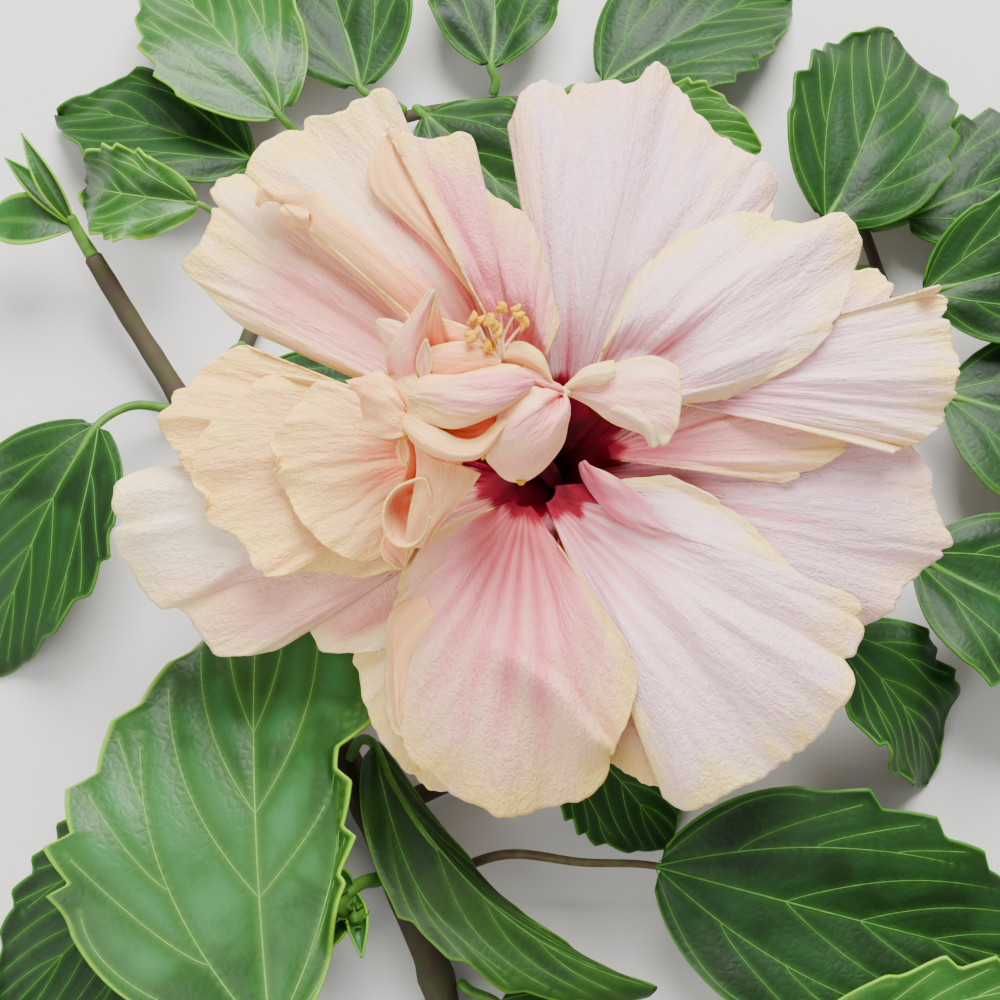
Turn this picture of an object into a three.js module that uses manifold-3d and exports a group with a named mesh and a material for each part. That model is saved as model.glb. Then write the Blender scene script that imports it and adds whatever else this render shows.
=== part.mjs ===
// Cut hibiscus branch that lies on a level surface: a double bloom facing up, its stems, buds and leaves.
// Millimetres, +Z up. The origin is the centre of the bounding box, on the surface that the branch lies on.
// Petals are drawn over the plane of the bloom, with u to the right, v up the picture and w out of the bloom.

import * as THREE from "three";
import * as BufferGeometryUtils from "three/addons/utils/BufferGeometryUtils.js";
import Module from "manifold-3d";

const wasm = await Module();
wasm.setup();

// Driving dimensions
const BLOOM_HEIGHT = 55;
const BLOOM_LEAN = THREE.MathUtils.degToRad(14);
const ORIGIN_SHIFT = new THREE.Vector3(-2.4, -10.4, 0);

const BLOOM_AXIS = new THREE.Vector3(0, 0, 1);

const THROAT_DEPTH = 22;
const THROAT_RADIUS = 10;
const THROAT_FALL = 1.2;

const PETAL_THICKNESS = 0.9;
const PETAL_CLEARANCE = 1.75;
const CLAW_ROOM = 0.6;
const STEEP_DEPTH = 8;
const STEEPEST = 1.4;
const EDGE_FLAT = 2.5;
const EDGE_FADE = 6;
const CLAW_LENGTH = 3;
const RIM_STEPS = 12;
const LENGTH_STEPS = 6;
const LEAST_TURN = THREE.MathUtils.degToRad(0.5);

const PETALOID_THICKNESS = 0.9;
const LEAF_THICKNESS = 0.9;
const LEAF_STEPS = 10;
const LEAF_TOOTH = 0.09;
const LEAF_SHOULDER = 0.6;
const PETALOID_FULLNESS = 0.8;
const BLADE_START = 0.02;
const BLADE_END = 0.985;
const STALK_GRIP = 0.12;
const STALK_RADIUS = [0.6, 1.1];
const SPRIG_RADIUS = [1.5, 1.1];
const BUD_STRETCH = 1.35;
const STEM_SIDES = 8;
const CALYX_SIDES = 12;

const materials = {
  petal: new THREE.MeshStandardMaterial({ color: 0xecd9d6, roughness: 0.62, metalness: 0 }),
  petaloid: new THREE.MeshStandardMaterial({ color: 0xf3c4a8, roughness: 0.6, metalness: 0 }),
  anther: new THREE.MeshStandardMaterial({ color: 0xf2b705, roughness: 0.8, metalness: 0 }),
  leaf: new THREE.MeshStandardMaterial({ color: 0x3f7d38, roughness: 0.42, metalness: 0 }),
  calyx: new THREE.MeshStandardMaterial({ color: 0x5f8f3c, roughness: 0.6, metalness: 0 }),
  stem: new THREE.MeshStandardMaterial({ color: 0x6b5a48, roughness: 0.75, metalness: 0 }),
};

// The petals of the bloom from the back to the front. Each is a fan from its claw at `base` to the rim points,
// which run round it one way. lift raises it, arch domes it, rim turns its edge down or up, and ruffle is the
// height of the waves at its edge.
const PETALS = [
  {
    name: "petal_right_back", base: [3, 2], lift: -2, arch: 2, rim: -3, ruffle: 0.8, waves: 2, phase: 0.4,
    rim_points: [[36, 36], [42, 40], [53, 38], [59, 38], [62, 34], [64.5, 30], [62, 20], [50, 12]],
  },
  {
    name: "petal_lower_right_back", base: [2, 0], lift: -2, arch: 3, rim: -4, ruffle: 1, waves: 2.5, phase: 2,
    rim_points: [[40, 8], [58, 11], [65, 6.5], [69.5, -2], [70, -7], [73, -12], [67.5, -17], [61.5, -23.5],
      [57, -27], [45, -28], [30, -19]],
  },
  {
    name: "petal_lower_left_back", base: [-3, -3], lift: -3, arch: 2, rim: -2, ruffle: 0.9, waves: 2, phase: 1,
    rim_points: [[-30, -14], [-34, -22], [-38, -31.5], [-36, -35], [-35, -41], [-32.5, -46.5], [-24, -56],
      [-17, -57.5], [-8, -54], [0, -46]],
  },
  {
    name: "petal_bottom_back", base: [1.5, -3], lift: -1, arch: 2, rim: -3, ruffle: 0.8, waves: 1.5, phase: 2,
    rim_points: [[-2, -36], [4, -49], [9, -51.5], [13.5, -54], [19, -56], [26, -52], [29, -44], [27, -34]],
  },
  {
    name: "petal_left", base: [-4, -1], lift: -1, arch: 3, rim: -3, ruffle: 1.4, waves: 3, phase: 0.5,
    rim_points: [[-30, 9], [-45, 9.5], [-67, 3], [-79, -0.5], [-80.5, -8.5], [-79, -15], [-72, -23.5],
      [-68.5, -23.5], [-65.5, -27.5], [-61, -32], [-51, -31], [-45, -28.3], [-42.5, -31.5], [-37, -32],
      [-29, -30]],
  },
  {
    name: "petal_upper_left", base: [-3, 4], lift: 0, arch: 3, rim: -3, ruffle: 1.2, waves: 2, phase: 1.5,
    rim_points: [[-36, 18], [-48, 23.5], [-58, 28.5], [-64, 34.5], [-67.5, 38.5], [-62.5, 46], [-61.5, 54.5],
      [-55.5, 55], [-45, 52], [-33, 43]],
  },
  {
    name: "petal_top", base: [1, 3], lift: 1, arch: 4, rim: -3, ruffle: 1.2, waves: 3.5, phase: 0,
    rim_points: [[-8.5, 63], [-5, 71], [2.5, 71.5], [11, 71.5], [15, 72], [18, 75.5], [23, 70],
      [28, 63], [36, 58.5], [40, 54.5], [39.5, 49.5], [33, 39]],
  },
  {
    name: "petal_right_short", base: [7, 4], lift: 3, arch: 1.5, rim: -1, ruffle: 0.5, waves: 2, phase: 1,
    rim_points: [[24.5, 1.5], [33, -0.5], [40, -1], [46, 1.5], [51, 4.5], [54, 8.5], [48, 14], [36, 17],
      [24, 15]],
  },
  {
    name: "petal_lower_right", base: [3, -1], lift: 5, arch: 4, rim: -4, ruffle: 1.3, waves: 3.5, phase: 0.8,
    rim_points: [[20, 0.5], [30, -4.5], [38, -11.5], [44, -17.5], [54.5, -22.5], [54, -33], [48.5, -45],
      [39, -52.5], [30.5, -56.5], [24, -59.5], [19.5, -57.5]],
  },
  {
    name: "petal_upper_left_front", base: [-7, 12], lift: 5, arch: 3, rim: 2, ruffle: 1.2, waves: 2.5, phase: 2,
    rim_points: [[-26, 28.5], [-44, 43.5], [-54.5, 50], [-54, 56.5], [-46.5, 62], [-38, 65], [-30, 68],
      [-26, 61], [-18, 52]],
  },
  {
    name: "petal_right", base: [8, 16.5], claw: 8, lift: 4, arch: 4, rim: -2, ruffle: 1, waves: 2, phase: 1.2,
    rim_points: [[62, 32.3], [68.5, 35.5], [70, 29], [71.5, 18.5], [68, 8.5], [60, 4.5]],
  },
  {
    name: "petal_bottom", base: [-6.5, -5], lift: 8, arch: 4, rim: -5, ruffle: 1.4, waves: 2.5, phase: 0.3,
    rim_points: [[-20, -8.5], [-26, -13.5], [-29, -22.5], [-30.5, -33], [-29.5, -45], [-21, -54],
      [-8.5, -60.5], [0, -58.5], [7, -56], [11, -46], [14, -36], [12, -29]],
  },
  {
    name: "petal_upper_centre", base: [-5, 14], lift: 8, arch: 3, rim: 1, ruffle: 1.2, waves: 1.5, phase: 2.5,
    rim_points: [[-13.5, 30], [-22, 40.5], [-34.5, 52.5], [-31, 61], [-23, 59], [-15.5, 59.5], [-13, 51],
      [-5.5, 46], [-2, 36.5], [0.5, 27]],
  },
  {
    name: "petal_upper_right", base: [3.5, 11], lift: 8, arch: 4, rim: -2, ruffle: 1, waves: 2.5, phase: 0.2,
    rim_points: [[9, 25], [13, 34], [19.5, 41], [33.5, 47], [44, 45], [50.5, 46.5], [53.5, 43], [52.5, 36],
      [48, 26], [42, 20], [30, 14]],
  },
  {
    name: "petaloid_left_back", base: [-14, 7], lift: 2, arch: 2, rim: 1, ruffle: 0.7, waves: 2, phase: 0.6,
    rim_points: [[-44, 19], [-54.5, 24], [-65, 18], [-70.5, 10], [-68, 4], [-62, -3], [-50, -10]],
  },
  {
    name: "petaloid_left_middle", base: [-15, 6], lift: 5, arch: 2, rim: 1.5, ruffle: 0.9, waves: 3, phase: 1.6,
    rim_points: [[-42, 17], [-51, 18], [-58, 13], [-64.5, 4], [-62, -7], [-55, -12], [-53, -17],
      [-43, -16.5], [-35, -17.5], [-27, -16]],
  },
  {
    name: "petaloid_left_front", base: [-17, 5], lift: 9, arch: 2, rim: 1, ruffle: 0.9, waves: 2.5, phase: 2.4,
    rim_points: [[-33, 15.5], [-42.5, 16.5], [-47, 10.5], [-50.5, 5.5], [-45.5, -6.5], [-39, -13],
      [-32.5, -14.5], [-27, -9]],
  },
];

// The petaloids of the knot over the throat. base and tip are [u, v, w], face is the way the blade looks,
// cup rolls its sides up, arch bows its length, and widest is where along its length it is broadest.
const KNOT_PETALOIDS = [
  { base: [-13, 5.5, 15], tip: [-9, 20, 22], face: [0.4, 0, 1], width: 26, cup: -0.9, arch: 5, widest: 0.5 },
  { base: [-16, 9, 16], tip: [0.5, 8, 17], face: [0, -0.1, 1], width: 17, cup: -1, arch: 7, widest: 0.6 },
  { base: [-17, 9, 17], tip: [-8, 1, 18], face: [-0.3, 0.2, 1], width: 13, cup: -0.8, arch: 4, widest: 0.55 },
  { base: [-20, 12, 15], tip: [-21.5, 30, 27], face: [0.2, -0.7, 1], width: 9, cup: 0.8, arch: -2, widest: 0.35 },
  { base: [-20, 12, 15], tip: [-12, 21, 22], face: [0.1, -0.6, 1], width: 11, cup: 0.7, arch: 2, widest: 0.6 },
  { base: [-19, 9, 16], tip: [-35.5, 15, 22], face: [0, 0.1, 1], width: 10, cup: -0.4, arch: 2, widest: 0.6 },
  { base: [-15, 6, 15.5], tip: [-26, -11.5, 19], face: [-0.5, 0.2, 1], width: 12, cup: 1.3, arch: 2, widest: 0.65 },
  { base: [-13, 12, 15], tip: [-29, 27, 20], face: [0, 0, 1], width: 8, cup: 0.5, arch: 2, widest: 0.6 },
  { base: [-8, 10, 15.5], tip: [-3, 20, 19], face: [0.2, -0.5, 1], width: 8, cup: 0.6, arch: 2, widest: 0.55 },
];
const COLUMN_ROUTE = [[0, 0, -21.1], [0, 0, -17], [-3, 3.5, -6], [-8, 8, 5], [-13, 9, 14], [-16, 9, 19]];
const COLUMN_RADIUS = [2.4, 4.4];
const KNOT_CORE = { centre: [-13, 9.5, 15.5], radii: [9, 6.5, 4.5] };

const BUTTERFLY_BLADES = [
  { base: [-0.6, 14.2, 18.1], tip: [20, 13, 17.6], face: [0, 0, 1], width: 14, cup: -0.4, arch: 2, widest: 0.7 },
  { base: [1.5, 13.5, 19], tip: [16.5, 5, 17], face: [0, 0.1, 1], width: 7, cup: 0.3, arch: 1, widest: 0.5 },
  { base: [1, 15, 19.3], tip: [8.5, 18.5, 22], face: [0, 0, 1], width: 5, cup: 0.5, arch: 1, widest: 0.6 },
];

const BUTTERFLY_JOINT = { centre: [0.9, 14.2, 18.4], radius: 1.7 };

const ANTHER_RADIUS = 1.3;
const FILAMENT_RADIUS = [0.72, 0.45];
const ANTHER_ROOT = [-10, 19.5, 24];
const ANTHERS = [
  [-14.2, 26.3, 27], [-10, 27.3, 28.5], [-7.5, 27, 28], [-6, 25.5, 27], [-12, 25, 29.5], [-10, 24, 28],
  [-14.2, 23, 28],
];

// Calyx profile as [radius, w], from the hollow under the petals down to the flower stalk
const CALYX_PROFILE = [
  [0, -21.6], [2.8, -21.6], [4, -19.9], [6.5, -16.2], [9, -12.8], [10.2, -12.9], [9.4, -18], [7.4, -25], [4.6, -31],
  [2.6, -34], [0, -34],
];

// Stems as routes of [x, y, z] with the radius at each end
const STEMS = [
  {
    name: "main_stem", radius: [3.4, 2], steps: 14,
    route: [[-17, -118, 3.4], [-22, -89, 6], [-29, -72, 8], [-42, -42, 6.5], [-60, -2, 4.5], [-76, 28, 5],
      [-88.5, 47.6, 9], [-95, 58, 15]],
  },
  {
    name: "flower_stalk", radius: [1.7, 2.2], steps: 8,
    route: [[-43.5, -30, 7], [-30, -20, 9.5], [-14, -3, 11.5], [-2.5, 8.6, 15.5], [0, 8.6, 20.9]],
  },
  {
    name: "twig_right", radius: [2, 1.2], steps: 11,
    route: [[-32.7, -55.3, 5.5], [-8, -44, 3.2], [30, -28, 3], [60, -8, 4], [74, 24, 5], [72, 52, 6], [66, 74, 7]],
  },
  {
    name: "twig_top", radius: [1.8, 1.1], steps: 9,
    route: [[-70.1, 25.4, 5.2], [-62, 50, 3], [-55, 76, 3.4], [-38, 92, 4.5], [-12, 98, 5.5], [8, 97, 7]],
  },
];

// Leaves: blade from base to tip, with the route of the leaf stalk back to the stem that carries it. Where the
// halves of a blade differ, left and right are shares of its even outline, from base to tip, and bow is how far
// the midrib curves to the right.
const LEAVES = [
  {
    name: "leaf_front_large", base: [-52, -99, 24], tip: [-58, -14, 18], width: 76, face: [-0.12, 0, 1],
    arch: 7, fold: 0.08, widest: 0.38, right: [0.4, 0.42, 0.5, 0.55, 1.3, 1],
    stalk: [[-50, -108, 20], [-36, -112, 11], [-22.9, -105, 6.3]],
  },
  {
    name: "leaf_folded", base: [-35, -43, 17], tip: [20.5, -89.8, 11], width: 26, face: [0.5, 0.35, 1],
    arch: 3, fold: -0.5, widest: 0.45, left: [0.8, 0.5, 0.4, 0.4], bow: 12,
    stalk: [[-37.5, -42.5, 14.5], [-39.6, -45.5, 10.2]],
  },
  {
    name: "leaf_lower_right", base: [19.8, -66.6, 14], tip: [100, -86, 0.3], width: 48, face: [0, -0.15, 1],
    arch: 6, fold: 0.12, widest: 0.42, stalk: [[6, -66, 15], [-10, -64.5, 13], [-26, -71, 9.8]],
  },
  {
    name: "leaf_corner", base: [42, -106, 20], tip: [112, -100, 12], width: 40, face: [0, -0.1, 1],
    arch: 5, fold: 0.12, widest: 0.45, stalk: [[24, -110, 21], [4, -114, 19], [-10, -114, 14.5], [-16, -112, 7.9]],
  },
  {
    name: "leaf_right_low", base: [55, -22, 20], tip: [76, -50, 0.3], width: 30, face: [0.5, 0.2, 1],
    arch: 6, fold: 0.2, widest: 0.4, stalk: [[50, -16, 16], [47.5, -17.4, 5.9]],
  },
  {
    name: "leaf_under_bloom", base: [2, -38, 10], tip: [24, -62, 0.3], width: 28, face: [0.1, 0.1, 1],
    arch: 4, fold: 0.15, widest: 0.42, stalk: [[-1, -36, 9], [-4, -41, 5.6]],
  },
  {
    name: "leaf_right", base: [72, -6, 18], tip: [120, -34, 0.2], width: 38, face: [0.2, 0.1, 1],
    arch: 7, fold: 0.15, widest: 0.4, stalk: [[68, -3, 13], [65.2, 0, 6.6]],
  },
  {
    name: "leaf_right_middle", base: [80, 28, 16], tip: [128, 12, 0.2], width: 40, face: [0.15, 0, 1],
    arch: 7, fold: 0.15, widest: 0.4, stalk: [[78, 30, 11], [75.4, 30, 6.8]],
  },
  {
    name: "leaf_right_upper", base: [76, 47, 23], tip: [120, 62, 12], width: 32, face: [0.15, -0.2, 1],
    arch: 6, fold: 0.2, widest: 0.4, stalk: [[74, 44, 14], [73.8, 44.6, 7.7]],
  },
  {
    name: "leaf_right_high", base: [57, 62, 23], tip: [76, 112, 10], width: 38, face: [0.2, -0.1, 1],
    arch: 6, fold: 0.15, widest: 0.4, stalk: [[60, 56, 17], [68.8, 58, 7.6]],
  },
  {
    name: "leaf_far_right", base: [76, 69, 8.5], tip: [124, 90, 0.2], width: 34, face: [0, 0.1, 1],
    arch: 3, fold: 0.15, widest: 0.4, stalk: [[72, 68, 8], [69.7, 68, 7.2]],
  },
  {
    name: "leaf_left_arched", base: [-72, 67, 22], tip: [-98, 75.5, 12], width: 20, face: [0, -0.45, 1],
    arch: 7, fold: 0.3, widest: 0.5, stalk: [[-66, 64, 17], [-60.2, 61.5, 5]],
  },
  {
    name: "leaf_left_upper", base: [-63, 81, 12], tip: [-108, 96, 3], width: 28, face: [0, 0.2, 1],
    arch: 5, fold: 0.15, widest: 0.42, stalk: [[-59, 78, 9], [-56.3, 76, 5.2]],
  },
  {
    name: "leaf_top_bright", base: [-56, 88, 19], tip: [-86, 128, 7], width: 34, face: [0.2, -0.2, 1],
    arch: 6, fold: 0.2, widest: 0.4, stalk: [[-52, 86, 13], [-47, 84.4, 6.2]],
  },
  {
    name: "leaf_top", base: [-40, 98, 12], tip: [-52, 142, 0.2], width: 34, face: [-0.1, 0.2, 1],
    arch: 6, fold: 0.15, widest: 0.4, stalk: [[-34, 96.5, 9], [-31, 95.4, 7]],
  },
  {
    name: "leaf_behind_gap", base: [-26, 88, 20], tip: [4, 58, 17], width: 30, face: [0, 0, 1],
    arch: 3, fold: 0.15, widest: 0.42, stalk: [[-28, 92, 15], [-26, 95, 6.8]],
  },
  {
    name: "leaf_top_right", base: [12, 100, 10], tip: [56, 126, 0.2], width: 36, face: [0, 0.2, 1],
    arch: 6, fold: 0.15, widest: 0.4, stalk: [[6, 99.4, 9.5], [4, 98.4, 8.6]],
  },
  {
    name: "leaf_top_young", base: [14, 90, 13], tip: [46, 84, 12], width: 20, face: [0, -0.1, 1],
    arch: 4, fold: 0.25, widest: 0.42, stalk: [[10, 91, 11], [4.5, 94.6, 8]],
  },
  {
    name: "leaf_top_middle", base: [-12, 104, 10], tip: [-10, 146, 0.2], width: 30, face: [0, 0.2, 1],
    arch: 5, fold: 0.15, widest: 0.4, stalk: [[-11, 102, 8.6], [-11.5, 99.6, 6.8]],
  },
  {
    name: "leaf_left_hanging", base: [-92, 22, 15], tip: [-114, -28, 0.2], width: 38, face: [-0.2, 0.1, 1],
    arch: 6, fold: 0.2, widest: 0.4, stalk: [[-86, 27, 11], [-78.6, 27.5, 6.8]],
  },
  {
    name: "leaf_left_behind", base: [-59, 34.5, 12.6], tip: [-34, 12, 8], width: 26, face: [0, 0, 1],
    arch: 3, fold: 0.15, widest: 0.42, stalk: [[-66, 38, 11], [-64.6, 41.6, 6.4]],
  },
  {
    name: "leaf_by_stem", base: [-11, -92, 7.4], tip: [20, -124, 0.4], width: 28, face: [0, 0.1, 1],
    arch: 2, fold: 0.05, widest: 0.4, stalk: [[-16, -90, 7.4], [-17.7, -88.6, 6.8]],
  },
  {
    name: "leaf_left_low", base: [-66, -58, 10], tip: [-108, -96, 0.2], width: 38, face: [-0.1, 0.1, 1],
    arch: 5, fold: 0.15, widest: 0.4, stalk: [[-56, -48, 10], [-44.8, -43, 7.4]],
  },
];

// Buds and young leaves on a short spine; a head is [x, y, z, radius]
const BUDS = {
  name: "bud_cluster",
  spine: [[-33.9, -69, 10], [-37, -70, 14], [-40, -73, 17]],
  blades: [
    { base: [-38, -71, 15], tip: [-44, -84, 17], width: 6, face: [0, 0, 1], cup: 1, arch: 1, widest: 0.5 },
    { base: [-38, -71, 15], tip: [-36, -84, 19], width: 5, face: [0, 0, 1], cup: 1, arch: 1, widest: 0.5 },
    { base: [-38, -71, 15], tip: [-46, -66, 20], width: 5, face: [0, 0, 1], cup: 0.8, arch: 1, widest: 0.5 },
  ],
  heads: [[-41, -74, 18, 3.1], [-37.5, -76, 16.5, 2.5]],
};
const SHOOT = {
  name: "shoot_tip",
  spine: [[-95.2, 58.4, 15.4], [-97.5, 62, 18], [-99, 65, 20.5]],
  blades: [
    { base: [-98, 63, 19], tip: [-114, 79, 19], width: 5, face: [0, 0, 1], cup: 0.9, arch: 2, widest: 0.45 },
    { base: [-98, 63, 19], tip: [-108, 80, 29], width: 5, face: [0, -0.4, 1], cup: 0.9, arch: 2, widest: 0.45 },
    { base: [-98, 63, 19], tip: [-120, 66, 14], width: 12, face: [0, 0, 1], cup: 0.4, arch: 3, widest: 0.5 },
  ],
  heads: [],
};

// Small helpers
const vec = (p) => new THREE.Vector3(p[0], p[1], p[2]);
const clamp01 = (x) => Math.min(1, Math.max(0, x));
const smooth = (x) => clamp01(x) ** 2 * (3 - 2 * clamp01(x));

function lerpList(list, x) {
  const place = clamp01(x) * (list.length - 1);
  const i = Math.min(list.length - 2, Math.floor(place));
  return list[i] + (list[i + 1] - list[i]) * (place - i);
}

// Closed shell about a grid of points, grid[i][j], whose front looks along the grid normal. Its two sides stand
// apart along `up`, further where the sheet is steep, so that they never cut each other.
function shellGeometry(grid, thickness, up) {
  const rows = grid.length;
  const cols = grid[0].length;
  const front = [];
  const back = [];
  for (let i = 0; i < rows; i += 1) {
    for (let j = 0; j < cols; j += 1) {
      const across = grid[Math.min(rows - 1, i + 1)][j].clone().sub(grid[Math.max(0, i - 1)][j]);
      const along = grid[i][Math.min(cols - 1, j + 1)].clone().sub(grid[i][Math.max(0, j - 1)]);
      const facing = across.cross(along).normalize().dot(up);
      const half = (thickness / 2) * Math.min(STEEPEST, 1 / Math.abs(facing)) * Math.sign(facing);
      const offset = up.clone().multiplyScalar(half);
      front.push(grid[i][j].clone().add(offset));
      back.push(grid[i][j].clone().sub(offset));
    }
  }
  const at = (i, j) => i * cols + j;
  const half = rows * cols;
  const index = [];
  const quad = (a, b, c, d) => index.push(a, b, c, a, c, d);
  for (let i = 0; i < rows - 1; i += 1) {
    for (let j = 0; j < cols - 1; j += 1) {
      quad(at(i, j), at(i + 1, j), at(i + 1, j + 1), at(i, j + 1));
      quad(half + at(i, j), half + at(i, j + 1), half + at(i + 1, j + 1), half + at(i + 1, j));
    }
  }
  for (let i = 0; i < rows - 1; i += 1) {
    quad(at(i, 0), half + at(i, 0), half + at(i + 1, 0), at(i + 1, 0));
    quad(at(i + 1, cols - 1), half + at(i + 1, cols - 1), half + at(i, cols - 1), at(i, cols - 1));
  }
  for (let j = 0; j < cols - 1; j += 1) {
    quad(at(0, j + 1), half + at(0, j + 1), half + at(0, j), at(0, j));
    quad(at(rows - 1, j), half + at(rows - 1, j), half + at(rows - 1, j + 1), at(rows - 1, j + 1));
  }
  const geometry = new THREE.BufferGeometry().setFromPoints([...front, ...back]);
  geometry.setIndex(index);
  return geometry;
}

// Tapered round stem along a smooth route, closed at both ends
function stemGeometry(route, radii, steps, sides) {
  const curve = new THREE.CatmullRomCurve3(route.map(vec));
  const frames = curve.computeFrenetFrames(steps, false);
  const points = [];
  const index = [];
  for (let i = 0; i <= steps; i += 1) {
    const centre = curve.getPointAt(i / steps);
    const radius = lerpList(radii, i / steps);
    for (let k = 0; k < sides; k += 1) {
      const turn = (2 * Math.PI * k) / sides;
      points.push(centre.clone()
        .addScaledVector(frames.normals[i], radius * Math.cos(turn))
        .addScaledVector(frames.binormals[i], radius * Math.sin(turn)));
      if (i > 0) {
        const a = (i - 1) * sides + k;
        const b = (i - 1) * sides + ((k + 1) % sides);
        index.push(a, b, b + sides, a, b + sides, a + sides);
      }
    }
  }
  for (let k = 1; k < sides - 1; k += 1) {
    index.push(0, k + 1, k);
    index.push(steps * sides, steps * sides + k, steps * sides + k + 1);
  }
  const geometry = new THREE.BufferGeometry().setFromPoints(points);
  geometry.setIndex(index);
  return geometry;
}

function toSolid(geometry) {
  const bare = geometry.clone();
  bare.deleteAttribute("normal");
  bare.deleteAttribute("uv");
  const merged = BufferGeometryUtils.mergeVertices(bare, 1e-4);
  return new wasm.Manifold(new wasm.Mesh({
    numProp: 3,
    vertProperties: new Float32Array(merged.attributes.position.array),
    triVerts: new Uint32Array(merged.index.array),
  }));
}

function fromSolid(solid) {
  const mesh = solid.getMesh();
  const geometry = new THREE.BufferGeometry();
  geometry.setAttribute("position", new THREE.BufferAttribute(new Float32Array(mesh.vertProperties), 3));
  geometry.setIndex(new THREE.BufferAttribute(new Uint32Array(mesh.triVerts), 1));
  return geometry;
}

// Joins closed shapes into one solid, with any hollow that they seal between them filled
function fuse(geometries) {
  const whole = geometries.map(toSolid).reduce((joined, next) => joined.add(next));
  return fromSolid(whole.decompose().reduce((big, one) => (one.volume() > big.volume() ? one : big)));
}

// Depth of the throat at a distance from the middle of the bloom
function throat(radius) {
  return -THROAT_DEPTH / (1 + (radius / THROAT_RADIUS) ** 2) ** THROAT_FALL;
}

// Height of a petal before it is laid over those beneath it; s runs across it and a out along it, 0 to 1
function ownHeight(petal, s, a, u, v) {
  const lifted = petal.lift * smooth(a * 2);
  const domed = petal.arch * Math.sin(Math.PI * a);
  const turned = petal.rim * a ** 3;
  const waved = petal.ruffle * Math.sin(2 * Math.PI * petal.waves * s + petal.phase) * a ** 2.5;
  return throat(Math.hypot(u, v)) + lifted + domed + turned + waved;
}

// Height of a finished petal under a point, and how fully it counts there: 1 on it, 0 past its edge margin
function heightUnder(sheet, u, v) {
  const du = u - sheet.base[0];
  const dv = v - sheet.base[1];
  const reach = Math.hypot(du, dv);
  let turn = Math.atan2(dv, du) - sheet.turns[0];
  turn -= 2 * Math.PI * Math.round((turn - sheet.span / 2) / (2 * Math.PI));
  const way = Math.sign(sheet.span);
  let outside = 0;
  let row = 0;
  if (turn * way <= 0) {
    outside = reach * Math.abs(turn);
  } else if (turn * way >= sheet.span * way) {
    outside = reach * Math.abs(turn - sheet.span);
    row = RIM_STEPS;
  } else {
    let i = 0;
    while (i < RIM_STEPS - 1 && (sheet.turns[i + 1] - sheet.turns[0]) * way < turn * way) i += 1;
    const low = sheet.turns[i] - sheet.turns[0];
    row = i + (turn - low) / (sheet.turns[i + 1] - sheet.turns[i]);
  }
  const i = Math.min(RIM_STEPS - 1, Math.floor(row));
  const part = row - i;
  const rimReach = sheet.reaches[i] * (1 - part) + sheet.reaches[i + 1] * part;
  outside = Math.max(outside, reach - rimReach, sheet.claw - reach);
  const a = clamp01((reach - sheet.claw) / (rimReach - sheet.claw)) * LENGTH_STEPS;
  const j = Math.min(LENGTH_STEPS - 1, Math.floor(a));
  const step = a - j;
  const low = sheet.heights[i][j] * (1 - step) + sheet.heights[i][j + 1] * step;
  const high = sheet.heights[i + 1][j] * (1 - step) + sheet.heights[i + 1][j + 1] * step;
  return { height: low * (1 - part) + high * part, weight: 1 - smooth((outside - EDGE_FLAT) / EDGE_FADE) };
}

// Lays one petal over the sheets that are already placed and returns it as a sheet with its grid
function layPetal(petal, placed) {
  const rim = new THREE.CatmullRomCurve3(petal.rim_points.map(([u, v]) => new THREE.Vector3(u, v, 0)));
  const claw = petal.claw ?? CLAW_LENGTH;
  const sheet = { base: petal.base, claw, turns: [], reaches: [], heights: [], grid: [] };
  for (let i = 0; i <= RIM_STEPS; i += 1) {
    const edge = rim.getPointAt(i / RIM_STEPS);
    const du = edge.x - petal.base[0];
    const dv = edge.y - petal.base[1];
    let turn = Math.atan2(dv, du);
    if (i > 0) turn -= 2 * Math.PI * Math.round((turn - sheet.turns[i - 1]) / (2 * Math.PI));
    sheet.turns.push(turn);
    sheet.reaches.push(Math.hypot(du, dv));
  }
  const way = Math.sign(sheet.turns[RIM_STEPS] - sheet.turns[0]);
  for (let i = 1; i <= RIM_STEPS; i += 1) {
    if ((sheet.turns[i] - sheet.turns[i - 1]) * way < LEAST_TURN) sheet.turns[i] = sheet.turns[i - 1] + way * LEAST_TURN;
  }
  for (let i = 0; i <= RIM_STEPS; i += 1) {
    const s = i / RIM_STEPS;
    const reach = sheet.reaches[i];
    const heights = [];
    const points = [];
    for (let j = 0; j <= LENGTH_STEPS; j += 1) {
      const a = j / LENGTH_STEPS;
      const out = claw + (reach - claw) * a;
      const u = petal.base[0] + Math.cos(sheet.turns[i]) * out;
      const v = petal.base[1] + Math.sin(sheet.turns[i]) * out;
      let w = ownHeight(petal, s, a, u, v);
      for (const lower of placed) {
        const under = heightUnder(lower, u, v);
        const steep = clamp01(-throat(Math.hypot(u, v)) / STEEP_DEPTH);
        const needed = under.height + PETAL_CLEARANCE * (1 + CLAW_ROOM * steep * (1 - a));
        if (needed > w) w += (needed - w) * under.weight;
      }
      heights.push(w);
      points.push(new THREE.Vector3(u, v, w));
    }
    sheet.heights.push(heights);
    sheet.grid.push(points);
  }
  sheet.span = sheet.turns[RIM_STEPS] - sheet.turns[0];
  if (sheet.span < 0) sheet.grid.reverse();
  return sheet;
}

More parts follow.
